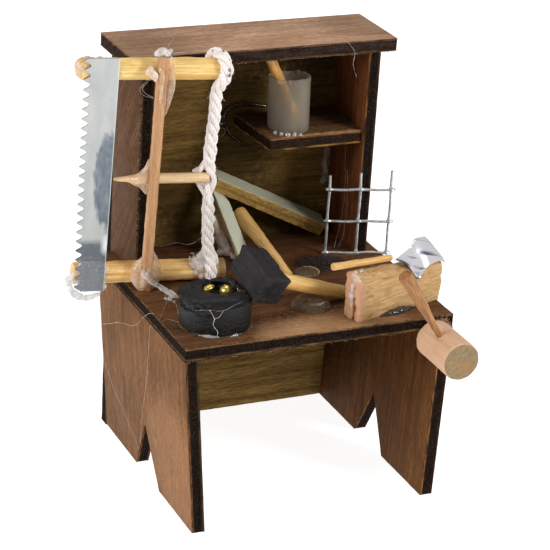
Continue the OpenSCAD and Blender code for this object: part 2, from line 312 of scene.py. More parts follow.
def add(tree, kind, *values, stops=(), **named):
    """Adds a node. kind is its type, and for maths the operation too, as in "Math ADD"; a Mix mixes
    colours. values fill its open inputs in order: numbers, hex colours, or nodes to link from. A named
    value is one of the node's own settings, or an input, with _ for each space in its name."""
    kind, _, operation = kind.partition(" ")
    node = tree.nodes.new("ShaderNode" + kind)
    if operation:
        node.operation = operation
    if kind == "Mix":
        node.data_type = "RGBA"
    inputs = {}
    for key, value in named.items():
        if hasattr(node, key):
            setattr(node, key, value)
        else:
            inputs[key.replace("_", " ")] = value
    sockets = [s for s in node.inputs if s.enabled]
    filled = list(zip(sockets, values))
    filled += [(next(s for s in sockets if s.name == key), value) for key, value in inputs.items()]
    for socket, value in filled:
        if isinstance(value, bpy.types.Node):
            value = next(s for s in value.outputs if s.enabled)
        if isinstance(value, bpy.types.NodeSocket):
            tree.links.new(value, socket)
        elif value is not None:
            socket.default_value = paint(value) if isinstance(value, str) else value
    if stops:
        elements = node.color_ramp.elements
        while len(elements) < len(stops):
            elements.new(0.5)
        for element, (place, colour) in zip(elements, stops):
            element.position = place
            element.color = paint(colour)
    return node


def new_material(name):
    """An empty material and its node tree."""
    mat = bpy.data.materials.new(name)
    mat.use_nodes = True
    mat.node_tree.nodes.clear()
    print("finish", name)
    return mat, mat.node_tree


def surface(tree, bump=None, **sockets):
    """The shader that the patterns feed, and the output. A socket given as (pattern, low, high) follows
    the pattern from low to high. bump is a pattern, its height in mm and its strength."""
    for key, value in sockets.items():
        if isinstance(value, tuple):
            pattern, low, high = value
            sockets[key] = add(tree, "MapRange", pattern, 0.0, 1.0, low, high)
    if bump:
        pattern, tall, strength = bump
        sockets["Normal"] = add(tree, "Bump", Height=pattern, Distance=tall * MM, Strength=strength)
    add(tree, "OutputMaterial", add(tree, "BsdfPrincipled", **sockets))


def millimetres(tree, along=(1, 0, 0), sizes=(1, 1, 1), shift=(0, 0, 0)):
    """Object coordinates in mm, turned so that X runs along the grain, and divided by these sizes."""
    mm = add(tree, "VectorMath SCALE", add(tree, "TexCoord").outputs["Object"], Scale=1 / MM)
    turn = Vector(along).to_track_quat("X", "Z").to_euler()
    return add(tree, "Mapping", mm, shift, turn, sizes, vector_type="TEXTURE")


def flecks(tree, along, sizes, low, high, detail=4.0, bend=0.0, shift=(0, 0, 0)):
    """A pattern from 0 to 1 in flecks of these sizes in mm, the first along the grain."""
    place = millimetres(tree, along, sizes, shift)
    clouds = add(tree, "TexNoise", place, Scale=1.0, Detail=detail, Roughness=0.58, Distortion=bend)
    return add(tree, "MapRange", clouds, low, high)


def tinted(tree, base, pattern, much, colour, **settings):
    """The base with a colour laid over it where the pattern is strong, by much at most."""
    return add(tree, "Mix", add(tree, "Math MULTIPLY", pattern, much), base, colour, **settings)


def spot_at(tree, centre, outer, inner, most=1.0, torn=None):
    """A round spot that fades from the inner to the outer radius, in mm. torn is added to tear its rim."""
    reach = add(tree, "VectorMath DISTANCE", millimetres(tree), tuple(centre / MM))
    if torn:
        reach = add(tree, "Math ADD", reach, torn)
    return add(tree, "MapRange", reach, outer, inner, 0.0, most)


def oval(tree, centre, radii, torn):
    """How many times its radius a point lies from an oval's centre. torn is added to tear its rim."""
    away = add(tree, "VectorMath SUBTRACT", millimetres(tree), tuple(centre / MM))
    away = add(tree, "VectorMath MULTIPLY", away, tuple(1 / radius for radius in radii))
    return add(tree, "Math ADD", add(tree, "VectorMath LENGTH", away), torn)


def along_line(tree, direction, start=Vector()):
    """How far a point lies along a direction, in mm, from a starting place."""
    far = add(tree, "VectorMath DOT_PRODUCT", millimetres(tree), tuple(direction))
    return add(tree, "Math SUBTRACT", far, direction.dot(start) / MM) if start.length else far


def facing(tree, across, low, high):
    """From 0 to 1 as the surface turns to look along a direction or against it."""
    looks = add(tree, "VectorMath DOT_PRODUCT", add(tree, "TexCoord").outputs["Normal"], tuple(across))
    return add(tree, "MapRange", add(tree, "Math ABSOLUTE", looks), low, high)


# %% [markdown]
# ## Pale floor
#
# A sheet of card that is lit from behind, as on a light table: almost no gloss, one even white, and
# only a faint shadow under the bench.

# %% White card
card, tree = new_material("white_card")
tone = add(tree, "Mix", flecks(tree, (1, 0, 0), (3, 3, 3), 0.3, 0.7), "#b2b2b2", "#acacab")
surface(tree, Base_Color=tone, Roughness=0.9, Emission_Color="#ffffff", Emission_Strength=0.92)
floor.data.materials.append(card)

# %% [markdown]
# ## Stained plywood with burnt edges
#
# Three-ply birch, cut by a laser and wiped with walnut stain. The stain sinks into the pores, so the
# grain shows as short dark flecks along the fibres and as slow bands of lighter and darker wood. The
# laser chars the cut edge: the thick core turns black and gritty, and the two thin face veneers show
# as brown lines. A board's edge is found by its normal, and the ply by how deep the point lies
# between the board's two faces, so the lines stay true on the leaning side panels too.

# %% Plywood finish
def depth_range(node, across):
    """The least and greatest distance of a node's points along a direction, in mm."""
    points = np.array([v.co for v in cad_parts[node].data.vertices])
    depths = points @ np.array(across) / MM
    return float(depths.min()), float(depths.max())


def stained_ply(name, node, across, along, light, mid, dark, veneers, core, open_pores, marks_and_painted_light):
    """Plywood whose thickness lies across and whose face grain runs along."""
    mat, tree = new_material(name)
    low, high = depth_range(node, across)
    pores = flecks(tree, along, (1.9, 0.18, 0.18), 0.47, 0.62)
    fibres = flecks(tree, along, (9.0, 0.3, 0.3), 0.32, 0.68, 4, 0.3, (3, 1, 2))
    bands = flecks(tree, along, (28, 1.7, 1.7), 0.36, 0.66, 3, 0.6, (7, 2, 5))
    blotches = flecks(tree, along, (11, 7, 7), 0.3, 0.75, 2, 0, (1, 9, 4))
    wood = add(tree, "Mix", bands, light, mid)
    wood = tinted(tree, wood, fibres, 0.5, dark)
    wood = tinted(tree, wood, pores, open_pores, dark)
    wood = tinted(tree, wood, blotches, 0.3, dark, blend_type="MULTIPLY")
    ragged = add(tree, "TexNoise", millimetres(tree), Scale=0.9, Detail=5.0)
    between_pores = add(tree, "Math MULTIPLY_ADD", add(tree, "Math MAXIMUM", pores, fibres), -0.55, 1.0)
    looks = add(tree, "VectorMath DOT_PRODUCT", add(tree, "TexCoord").outputs["Normal"], tuple(across))
    # each mark tints one face: most are painted light or painted shade, and one on the bench top is a real
    # scorch; the pores keep their own colour
    for centre, radius, colour, most in marks_and_painted_light:
        on_upper = centre.dot(across) / MM > (low + high) / 2
        this_face = add(tree, "Math GREATER_THAN" if on_upper else "Math LESS_THAN", looks, 0.0)
        torn = add(tree, "Math MULTIPLY_ADD", ragged, radius * 0.9, -radius * 0.45)
        inside = spot_at(tree, centre, radius * 1.2, radius * 0.6, most, torn)
        inside = add(tree, "Math MULTIPLY", inside, between_pores)
        wood = tinted(tree, wood, inside, this_face, colour)

    share = add(tree, "MapRange", along_line(tree, across), low, high)
    wander = add(tree, "TexNoise", millimetres(tree), Scale=0.7, Detail=5.0)
    wander = add(tree, "Math MULTIPLY_ADD", wander, 0.10, -0.05)
    plies = add(tree, "ValToRGB", add(tree, "Math ADD", share, wander), stops=[
        (0.00, dark), (0.07, veneers[0]), (0.13, veneers[0]), (0.19, "#241710"), (0.30, core),
        (0.72, core), (0.82, "#241710"), (0.88, veneers[1]), (0.95, veneers[1]), (1.00, dark),
    ])
    worn = flecks(tree, along, (4.5, 1.1, 1.1), 0.36, 0.62, 3, 0.3, (9, 9, 1))
    plies = tinted(tree, plies, worn, 0.85, "#1a100a")
    grit = flecks(tree, (1, 0, 0), (0.3, 0.3, 0.3), 0.55, 0.72, 3)
    plies = tinted(tree, plies, grit, 0.26, "#75614f")

    on_face = facing(tree, across, 0.62, 0.82)
    height = add(tree, "Math MULTIPLY", add(tree, "Math ADD", pores, fibres), -0.5)
    height = add(tree, "Math MULTIPLY_ADD", grit, 0.5, height)
    surface(tree,
            Base_Color=add(tree, "Mix", on_face, plies, wood),
            Roughness=(on_face, 0.85, 0.58), Specular_IOR_Level=0.04,
            bump=(height, 0.035, 1.0))
    return mat


# %% [markdown]
# ## Boards
#
# Each board starts as its CAD node's shape. Two cuts mark where the face veneers meet the core. The
# two broad faces are then lifted off, which leaves a rim of plain strips that divide cleanly about
# every millimetre. The rim's points are pulled in by small, uneven amounts, as a laser leaves it: the
# core burns back a little further than the veneers do. Last, the two faces are filled in again.

# %% Board maker
VENEERS = (0.15, 0.85)
RIM_STEP = 1.0
CORE_BURN, FINE_JAG, BROAD_JAG = 0.07, 0.055, 0.045


def board(name, node, across):
    """A laser-cut board with a burnt, slightly ragged rim."""
    obj = node_copy(node, name)
    low, high = depth_range(node, across)
    for share in VENEERS:
        pick(obj)
        level = (low + (high - low) * share) * MM
        bpy.ops.mesh.bisect(plane_co=across * level, plane_no=across)
        leave()
    pick(obj, "FACE", lambda face: abs(face.normal.dot(across)) > 0.9)
    bpy.ops.mesh.delete(type="ONLY_FACE")
    leave()

    def run_of(edge):
        a, b = (obj.data.vertices[i].co for i in edge.vertices)
        return (b - a) / MM

    while True:
        lengths = [run_of(e).length for e in obj.data.edges if abs(run_of(e).normalized().dot(across)) < 0.5]
        longest = max(lengths)
        if longest < 1.6 * RIM_STEP:
            break
        pick(obj, "EDGE", lambda e: abs(run_of(e).length - longest) < 0.01
             and abs(run_of(e).normalized().dot(across)) < 0.5)
        bpy.ops.mesh.subdivide(number_cuts=min(100, max(1, round(longest / RIM_STEP) - 1)))
        leave()

    normals = [Vector() for _ in obj.data.vertices]
    for face in obj.data.polygons:
        for i in face.vertices:
            normals[i] += face.normal
    for v in obj.data.vertices:
        share = (v.co.dot(across) / MM - low) / (high - low)
        core = CORE_BURN if 0.1 < share < 0.9 else 0.0
        fine = FINE_JAG * (1 + noise.noise(v.co / MM * 1.3))
        broad = BROAD_JAG * (1 + noise.noise(v.co / MM * 0.35))
        v.co -= normals[v.index].normalized() * (core + (fine + broad)) * MM
    for level in (low, high):
        def on_level(edge):
            return all(abs(obj.data.vertices[i].co.dot(across) / MM - level) < 0.02 for i in edge.vertices)
        pick(obj, "EDGE", on_level)
        bpy.ops.mesh.edge_face_add()
        leave()
    pick(obj)
    bpy.ops.mesh.normals_make_consistent(inside=False)
    leave()
    return ease_edges(obj, 0.1, 2, 50)


# %% [markdown]
# ## The bench's eight boards
#
# The two side panels lean in towards their feet, so the direction through their thickness leans too.
# The veneers were not all cut from one sheet: the side panels' grain is upright, the left hutch
# panel's runs askew, the back board is thinly stained and keeps an olive tone, and the right hutch
# panel took the stain redder than the rest.

# %% Boards
LEG = bench_lo.z / MM
LEAN_LEFT, LEAN_RIGHT = 3.4, 1.4
left_across = Vector((LEG, 0, LEAN_LEFT)).normalized()
right_across = Vector((LEG, 0, -LEAN_RIGHT)).normalized()
shelf_across = Vector((0, -0.064, 1)).normalized()
UP, ACROSS, DEEP = Vector((0, 0, 1)), Vector((1, 0, 0)), Vector((0, 1, 0))

# a mark: where it is, its radius in mm, its colour, and how strong it is
BACK_FACE = 54.6
# bench top: painted light along the front edge, painted shade round the pot's foot, a darker spot near the
# left front corner, and a scorch under the charred sawdust
bench_marks_and_painted_light = [(at(x, y, TOP), radius, colour, most) for x, y, radius, colour, most in (
    (24, 2, 7.0, "#b08a66", 0.75), (34, 2, 9.0, "#a8825e", 0.8), (45, 1, 8.0, "#a07a56", 0.7),
    (45, 35, 5.5, "#150c0a", 0.9), (3, 6, 8.0, "#3a2a1f", 0.6), (11, 11, 9.0, "#3c2a1c", 0.5))]
roof_lo, roof_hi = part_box("roof_board")
# roof top: painted shade at its left front and right back corners, where its sheen falls off
roof_painted_shade = ((Vector((roof_lo.x, roof_lo.y, roof_hi.z)) + Vector((6, 6, 0)) * MM, 13.0, "#4c3727", 0.6),
              (Vector((roof_hi.x, roof_hi.y, roof_hi.z)) - Vector((4, 8, 0)) * MM, 12.0, "#6b503b", 0.5))
# back board: painted shade and painted shadows under the roof and the shelf, behind the jar, left of the
# cord and the square, and low down under the bench top
back_painted_shade = [(at(x, BACK_FACE, z), radius, colour, most) for x, z, radius, colour, most in (
    (54, 93, 14.0, "#1f160a", 1.0), (57, 82, 12.0, "#1a1207", 0.95), (35, 91, 11.0, "#1e1506", 0.95),
    (34, 78, 9.0, "#1a1205", 1.0), (33, 65, 10.0, "#1a1205", 1.0), (22, 47, 9.0, "#261b0b", 0.7),
    (42, 49, 12.0, "#261b0b", 0.65), (19, 57, 8.0, "#1a1205", 0.8), (58, 34, 17.0, "#160e05", 1.0),
    (38, 32, 14.0, "#1e1506", 0.8))]
# left side panel: painted light low on its front foot
left_painted_light = ((at(1.5, 9, 11), 17.0, "#a87c58", 0.6),)
# right side panel: painted shade low down at its back
right_painted_shade = ((at(60.2, 54, 26), 23.0, "#1c1004", 1.0),)
# shelf top: painted shade at its left end and in its middle, under the roof and the jar, and painted light
# in a row along its front edge
shelf_painted_light_and_shade = ((at(34, 52, 75), 10.0, "#120a04", 1.0), (at(51, 53, 75.5), 15.0, "#1c1209", 1.0),
               *((at(x, 37.8, 75.3), 2.3, "#c4946a", 0.9) for x in range(39, 62, 2)))
SOOT = "#0c0806"
board_plan = [
    # name, node, through its thickness, along its grain, light, mid and dark wood, its two veneers at
    # the edge, core, how open the pores are, slot, and marks: painted light and shade, and a scorch on the
    # bench top
    ("left_side", "left_side_panel", left_across, UP, "#936843", "#775233", "#432b1a",
     ("#7a5434", "#4a3c28"), SOOT, 0.6, "walnut_ply", left_painted_light),
    ("right_side", "right_side_panel", right_across, UP, "#85582e", "#6b4220", "#3c2511",
     ("#845c34", "#2c1e14"), SOOT, 0.6, "walnut_ply", right_painted_shade),
    ("top_board", "bench_top", UP, ACROSS, "#8d6242", "#6a472d", "#3a2415",
     ("#664c36", "#77583c"), SOOT, 0.7, "dark_ply", bench_marks_and_painted_light),
    ("back", "back_board", DEEP, ACROSS, "#9a7a44", "#73582b", "#3a2912",
     ("#57442a", "#57442a"), SOOT, 0.6, "olive_ply", back_painted_shade),
    ("left_hutch", "left_hutch_panel", ACROSS, Vector((0, -0.55, 0.83)), "#725039", "#5a3f2b", "#362415",
     ("#54402f", "#2c2018"), SOOT, 0.7, "walnut_ply", ()),
    ("right_hutch", "right_hutch_panel", ACROSS, UP, "#83502f", "#663a21", "#381d10",
     ("#7c542c", "#3c2b20"), SOOT, 0.6, "walnut_ply", ()),
    ("roof", "roof_board", UP, Vector((1, 0.03, 0)), "#dab496", "#b98f72", "#70533a",
     ("#4a382a", "#6b5240"), "#2f2420", 0.7, "walnut_ply", roof_painted_shade),
    ("shelf", "shelf_board", shelf_across, ACROSS, "#aa825c", "#826242", "#4c3420",
     ("#8a6434", "#80603a"), "#2b1c14", 0.7, "dark_ply", shelf_painted_light_and_shade),
]
for name, node, across, along, light, mid, dark, veneers, core, pores, slot, board_marks_and_painted_light in board_plan:
    ply = stained_ply("walnut_ply_" + name, node, across, along, light, mid, dark, veneers, core, pores,
                      board_marks_and_painted_light)
    settle(board(name, node, across), ply, slot, node, smooth=35)

# %% [markdown]
# ## Curves
#
# String, wire and glue hairs are all long and thin, so they start as curves. smooth_path() bends a
# line softly through a few places and returns close, even steps along it. tubes() gives such lines a
# round section and turns them into one mesh.

# %% Paths and tubes
def smooth_path(points, step):
    """Places step mm apart on a soft curve through these points, which are in mm."""
    p = [np.array(q, float) for q in points]
    p = [2 * p[0] - p[1]] + p + [2 * p[-1] - p[-2]]
    dense = []
    for a, b, c, d in zip(p, p[1:], p[2:], p[3:]):
        for t in np.arange(0, 1, 0.02):
            dense.append(0.5 * (2 * b + (c - a) * t + (2 * a - 5 * b + 4 * c - d) * t**2
                                + (3 * b - a - 3 * c + d) * t**3))
    dense = np.array(dense + [p[-2]])
    far = np.concatenate([[0], np.cumsum(np.linalg.norm(np.diff(dense, axis=0), axis=1))])
    even = np.linspace(0, far[-1], max(2, int(far[-1] / step) + 1))
    return np.stack([np.interp(even, far, dense[:, k]) for k in range(3)], axis=1)


def as_mesh(name, curve):
    """An object of this name whose mesh has the curve's shape."""
    obj = bpy.data.objects.new(name, curve)
    bpy.context.collection.objects.link(obj)
    alone(obj)
    bpy.ops.object.convert(target="MESH")
    return bpy.context.object


def tubes(name, paths, roundness=0):
    """One mesh of tubes, four-sided at roundness 0. A path is a list of (place in metres, radius in mm)."""
    curve = bpy.data.curves.new(name, "CURVE")
    curve.dimensions = "3D"
    curve.bevel_depth = MM
    curve.bevel_resolution = roundness
    curve.use_fill_caps = True
    for path in paths:
        spline = curve.splines.new("POLY")
        spline.points.add(len(path) - 1)
        for point, (place, radius) in zip(spline.points, path):
            point.co = (*place, 1)
            point.radius = radius
    return as_mesh(name, curve)


# %% [markdown]
# ## Split bamboo, toothpick and dyed sticks
#
# The saw's rods, the handles and the pointed stick are cut from bamboo skewers, the toggle is half a
# toothpick, and the mallet's handle is a dyed spill. All of them show long fibres, so one recipe makes
# them: fine streaks of a darker tone along the grain, broader bands, and a few dark specks, with
# furrows as bump. Only the colours and the direction change from stick to stick.

# %% Stick finish
def stick_wood(name, along, pale, warm, streak, rough=0.55, coarse=1.0, darker_spot=None):
    """Fibrous wood whose fibres run along."""
    mat, tree = new_material(name)
    fine = flecks(tree, along, (9.0 * coarse, 0.16 * coarse, 0.16 * coarse), 0.42, 0.66, 4, 0.2)
    broad = flecks(tree, along, (14.0, 0.9, 0.9), 0.35, 0.65, 3, 0.3, (5, 2, 8))
    specks = flecks(tree, along, (0.9, 0.16, 0.16), 0.62, 0.74, 2, 0, (2, 7, 1))
    wood = tinted(tree, add(tree, "Mix", broad, pale, warm), fine, 0.62, streak)
    wood = tinted(tree, wood, specks, 0.5, "#6b4424")
    # a spot where the wood is darker brown
    if darker_spot:
        centre, radius, colour = darker_spot
        wood = add(tree, "Mix", spot_at(tree, centre, radius, radius * 0.75, 0.8), wood, colour)
    surface(tree, Base_Color=wood, Roughness=rough, bump=(fine, -0.05, 1.0))
    return mat


# %% [markdown]
# ## Sticks
#
# A stick is a cone stretched between two places. Its ends are eased with a bevel, its sides are cut
# into rings, and the cloud displacement makes it slightly crooked and knobbly. Its length is then laid
# along the line between the two places, and that placing is applied, so it ends in the mesh.

# %% Round and square sticks
def stick(name, a, b, r1, r2, sides=20, rings=16, lumps=0.12, grain=1.6, ease=0.25):
    """A stick from a to b, r1 mm thick at a and r2 mm at b. Four sides make a square one."""
    run = b - a
    bpy.ops.mesh.primitive_cone_add(vertices=sides, radius1=r1 * MM, radius2=r2 * MM, depth=run.length)
    obj = bpy.context.object
    obj.name = name
    ease_edges(obj, ease, 2)
    half = run.length / 2
    pick(obj, "EDGE", lambda e: abs(obj.data.vertices[e.vertices[0]].co.z
                                    - obj.data.vertices[e.vertices[1]].co.z) > half)
    bpy.ops.mesh.subdivide(number_cuts=rings)
    leave()
    obj.matrix_world = Matrix.Translation((a + b) / 2) @ run.to_track_quat("Z", "Y").to_matrix().to_4x4()
    fix_in_place(obj)
    return roughen(obj, lumps, grain)


# %% Saw rods
ROD_R = 2.4
SPAN = 46.7
top_rod = stick("top_rod", on(SAW, -15.7, 0, 0), on(SAW, 16.8, 0, 0), ROD_R, ROD_R, 24, 30, 0.3, 2.2)
settle(top_rod, stick_wood("bamboo_top_rod", saw_along, "#f2d68e", "#e2bb68", "#bd8238", 0.5), "bamboo",
       "saw_top_rod")
low_rod = stick("low_rod", on(SAW, -14.7, 0, -SPAN), on(SAW, 20.0, 0, -SPAN), ROD_R, ROD_R, 24, 30, 0.3, 2.2)
# the low rod is darker brown at its right end
settle(low_rod, stick_wood("bamboo_low_rod", saw_along, "#f4d892", "#e2ad60", "#b27038", 0.5, 1.3,
       (on(SAW, 21.4, 0, -SPAN), 4.9, "#543612")), "bamboo", "saw_bottom_rod")

# %% Stretcher, toggle, hammer handle and pointed stick
SLAT_U, SLAT_SIDE, SLIMMER = 1.1, -3.7, 0.8
slat = reskin(node_copy("saw_stretcher", "stretcher"), 0.3, 2)
for v in slat.data.vertices:
    u, side, w = SAW.inverted() @ v.co / MM
    v.co = on(SAW, SLAT_U + (u - SLAT_U) * SLIMMER, SLAT_SIDE + (side - SLAT_SIDE) * SLIMMER, w)
roughen(slat, 0.25, 2.0)
settle(slat, stick_wood("spruce_slat", saw_up, "#c0946a", "#ae8056", "#8e5f36", 0.6), "slat_wood",
       "saw_stretcher")
TOGGLE_R, TOGGLE_AT = 1.15, -24.5
TOGGLE_SIDE = TOGGLE_R - ROD_R
whittled = ((-7.1, 0.3), (-6.6, 0.42), (-4.6, 0.62), (-2.6, 0.95), (-1.8, TOGGLE_R))
shaft = stick("toggle", on(SAW, -1.9, TOGGLE_SIDE, TOGGLE_AT), on(SAW, 14.2, TOGGLE_SIDE, TOGGLE_AT),
              TOGGLE_R, TOGGLE_R, 20, 12, 0.06)
sharp = tubes("sharp", [[(on(SAW, u, TOGGLE_SIDE, TOGGLE_AT), r) for u, r in whittled]], 4)
toothpick = stick_wood("birch_toothpick", saw_along, "#ecd0a6", "#e2c092", "#c09663")
settle(join("toggle", shaft, sharp), toothpick, "toothpick_wood", "saw_toggle")

hammer_along = pointing(HAMMER, 1, 0, 0)
handle = stick("hammer_stick", on(HAMMER, 3.0, 0, -0.3), on(HAMMER, 24.95, 0, -0.25),
               1.75, 1.55, 20, 24, 0.25)
settle(handle, stick_wood("bamboo_handle", hammer_along, "#e8c47c", "#d9a955", "#a66f30"), "bamboo",
       "hammer_handle")
tip = Vector((SQUARE_X + 10.7, DEPTH - 26.4, TOP + 0.85))
butt = Vector((SQUARE_X + 5.8, DEPTH - 6.6, TOP + 8.9))
pointed = stick("pointed_bamboo", at(*tip), at(*butt), 0.7, 2.0, 16, 24, 0.35, 1.4)
settle(pointed, stick_wood("bamboo_point", butt - tip, "#e3bd78", "#cf9f57", "#96622d"), "bamboo",
       "pointed_stick")

# %% [markdown]
# ## Cord
#
# The saw's cord is soft white cotton, laid up from four strands, and each strand is a bundle of yarns
# that lean the other way, so that neither twist comes undone. The same is done here: yarns circle a
# core, which makes a strand, and the strands circle the cord's path in two pairs. Where the toggle is
# pushed through, the pairs part and go round it, one behind and one past its end. Above and below
# they wrap the rods. Cotton also sheds: short fibres stand off the yarns, and a tuft hangs at the foot.

# %% Cord paths in the saw's frame
STRAND_R, YARN_R, YARNS = 0.66, 0.2, 6
CORD_TURN, YARN_TURN = 9.6, 5.2
APART, PARTING = 0.56, 5.2
top_wrap = [(13.4, 2.0, -2.3), (13.6, 2.9, 0.2), (14.0, 2.2, 2.4), (14.6, 0.3, 3.1), (15.3, -1.9, 2.5),
            (15.7, -3.0, 0.4), (15.3, -2.7, -1.8), (14.7, -1.8, -3.3), (14.35, -1.3, -4.9)]
upper_leg = [(14.35, -1.25, -10), (14.1, -1.25, -16), (14.0, -1.25, -20.6)]
behind, beyond = (11.9, 0.9, TOGGLE_AT), (15.3, -1.3, -24.3)
lower_leg = [(16.2, -3.4, -47.7), (15.9, -3.3, -45.2), (15.6, -1.9, -42.6), (15.3, -1.3, -39),
             (14.9, -1.25, -33.5), (14.4, -1.25, -28.6)]
back_wrap = [(16.2, 3.3, -47.6), (16.2, 3.1, -45.4), (16.4, 1.6, -43.6), (16.6, -0.6, -43.3),
             (16.6, -2.6, -44.2)]


def twisted(points, phase, apart):
    """The yarns of a pair of strands that circles a path. apart(w) says how far it keeps from the path."""
    step = 0.3
    path = smooth_path(points, step)
    ahead = np.gradient(path, axis=0)
    ahead /= np.linalg.norm(ahead, axis=1)[:, None]
    side = np.cross(ahead, [0, 1, 0])
    side[np.linalg.norm(side, axis=1) < 0.2] = [1, 0, 0]
    for i in range(1, len(side)):
        side[i] = side[i - 1] - ahead[i] * np.dot(side[i - 1], ahead[i])
        side[i] /= np.linalg.norm(side[i])
    third = np.cross(ahead, side)
    yarns = []
    for beside, k in [(beside, k) for beside in (-APART, APART) for k in range(YARNS + 1)]:
        line = []
        for i, place in enumerate(path):
            turn = phase - 2 * math.pi * i * step / CORD_TURN
            out = apart(place[2])
            middle = place + side[i] * (out * math.cos(turn) - beside * math.sin(turn)) \
                + third[i] * (out * math.sin(turn) + beside * math.cos(turn))
            spin = 2 * math.pi * (k / YARNS + i * step / YARN_TURN)
            fluff = 1 + 0.15 * noise.noise(Vector(place) * 0.9 + Vector((k, phase, beside)))
            outwards = side[i] * math.cos(spin) + third[i] * math.sin(spin)
            spot = middle + (STRAND_R - YARN_R) * fluff * outwards
            if k < YARNS:
                line.append((on(SAW, *spot), YARN_R * fluff))
            else:
                line.append((on(SAW, *middle), STRAND_R - YARN_R))
        yarns.append(line)
    return yarns


def cord_apart(w):
    """The pairs lie side by side on the legs, and part where each goes round the toggle alone."""
    near_toggle = max(0.0, 1 - abs(w - TOGGLE_AT) / PARTING)
    return APART * (1 - min(1.0, near_toggle * 1.8))


yarns = []
for phase, split in ((0.0, behind), (math.pi, beyond)):
    yarns += twisted(top_wrap + upper_leg + [split], phase, cord_apart)
    yarns += twisted(lower_leg + [split], phase, cord_apart)
    yarns += twisted(back_wrap, phase, lambda w: APART)
cord = tubes("cord", yarns, 1)

# %% Loose fibres
fuzz = []
for line in yarns:
    for i in range(1, len(line) - 3, 5):
        if random.random() < 0.5:
            start = line[i][0]
            drift = Vector((random.gauss(0, 1), random.gauss(0, 1), random.gauss(0, 1))).normalized()
            along = (line[i + 1][0] - start).normalized()
            reach = random.uniform(0.35, 1.0) * MM
            fuzz.append([(start, 0.03), (start + (along + drift * 0.7) * reach * 0.6, 0.025),
                         (start + (along * 0.6 + drift * 1.2) * reach, 0.015)])
for i in range(150):
    start = Vector((random.uniform(12.4, 15.2), random.uniform(-2.9, -1.2), random.uniform(-45.2, -43.6)))
    drift = Vector((random.gauss(-0.9, 0.6), random.gauss(-0.2, 0.4), random.gauss(0.5, 0.6))) * 0.8
    curl = Vector((random.gauss(0, 0.3), random.gauss(0, 0.3), random.gauss(0.2, 0.4)))
    places = [start, start + drift * 0.5 + curl * 0.5, start + drift * 0.9 + curl * 1.2, start + drift * 1.2]
    fuzz.append([(on(SAW, *p), 0.035) for p in places])
cotton, tree = new_material("cotton_cord")
lint = flecks(tree, (0, 0, 1), (0.8, 0.12, 0.12), 0.3, 0.7, 3)
soil = flecks(tree, (1, 0, 0), (5, 5, 5), 0.45, 0.8, 3)
tone = add(tree, "Mix", lint, "#f6f1ee", "#e6ded9")
tone = tinted(tree, tone, soil, 0.5, "#d8cac3")
for spot in ((13.6, 1.0, 3.6), (15.2, -0.8, 4.1), (16.2, -3.0, 3.1), (16.0, -4.1, 0.9), (15.9, -4.1, -0.2)):
    tone = add(tree, "Mix", spot_at(tree, on(SAW, *spot), 0.62, 0.35, 0.85), tone, "#3a3432")
surface(tree, Base_Color=tone, Roughness=0.95, Sheen_Weight=0.3, Sheen_Roughness=0.5,
        bump=(lint, 0.04, 0.7))
cord = join("cord", cord, tubes("fuzz", fuzz))
settle(cord, cotton, "cotton", "saw_cord", smooth=80)

# %% Axe handle, jar stick and mallet handle
AXE_X = 24
AXE_A, AXE_B = on(LOG, AXE_X - 27.6, 5.5, 11.9), on(LOG, AXE_X - 11.8, 4.1, 11.15)
axe_stick = stick("axe_stick", AXE_A, AXE_B, 0.8, 0.7, 14, 14, 0.2, 1.4, 0.2)
settle(axe_stick, stick_wood("bamboo_axe", AXE_B - AXE_A, "#e6bf7c", "#d6a45c", "#a06a30"), "bamboo",
       "axe_handle")
jar_wood = stick_wood("bamboo_jar", (-0.35, 0, 1), "#d2a25a", "#bd8a40", "#8a5824")
rod_lo, rod_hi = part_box("jar_stick")
rod_y = (rod_lo.y + rod_hi.y) / 2
rod_foot = Vector((rod_hi.x, rod_y, rod_lo.z)) + Vector((-0.9, 0, 0.8)) * MM
rod_head = Vector((rod_lo.x, rod_y, rod_hi.z)) - Vector((0.4, 0.4, 0.5)) * MM
jar_rod = stick("jar_rod", rod_foot, rod_head, 0.95, 1.25, 14, 16, 0.3, 1.5)
settle(jar_rod, jar_wood, "bamboo", "jar_stick")
MALLET_LEAN = math.radians(32)
spill_along = Vector((-math.sin(MALLET_LEAN), 0, math.cos(MALLET_LEAN)))
mallet_lo, mallet_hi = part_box("mallet_head")
hub = (mallet_lo + mallet_hi) / 2
spill = stick("mallet_spill", hub + spill_along * 4.0 * MM, hub + spill_along * 22.6 * MM, 0.6, 1.7,
              18, 20, 0.3, 1.6, 0.5)
settle(spill, stick_wood("dyed_spill", spill_along, "#b8824a", "#8c5a2a", "#4c2c10", 0.5, 1.4),
    "stained_wood", "mallet_handle")

# %% [markdown]
# ## Blade
#
# The blade is cut from bright steel strip with pinking shears, so its teeth are an even wave. The CAD
# draws them as plain triangles; here the outline is drawn again as a wave, filled in and given the
# strip's thickness. The shears burr the cut, which shows as a thin dark line along the teeth. The face
# is bright but hazy, and rubbed streaks lie along it. Its colour carries painted reflections: a mottled
# blue-grey patch at its back and a darker blue-grey end, with a painted highlight low on the blade and a
# painted glint along the back edge.

# %% Saw blade
BLADE_BACK, BLADE_ROOT, BLADE_FOOT, BLADE_HEAD = -8.0, -13.4, -50.0, 3.2
BLADE_BOW, TOOTH_PITCH, TOOTH_DEEP, BLADE_SIDE = 0.9, 2.15, 1.4, -2.6


def toothed_edge(w):
    """How far across the saw's frame the toothed edge lies: a wave on a slight bow."""
    bow = BLADE_BOW * math.sin(math.pi / 2 * (w - BLADE_FOOT) / (BLADE_HEAD - BLADE_FOOT))
    wave = 0.5 - 0.5 * math.cos(2 * math.pi * (w - BLADE_FOOT) / TOOTH_PITCH)
    return BLADE_ROOT + 0.1 - bow - TOOTH_DEEP * wave**1.3


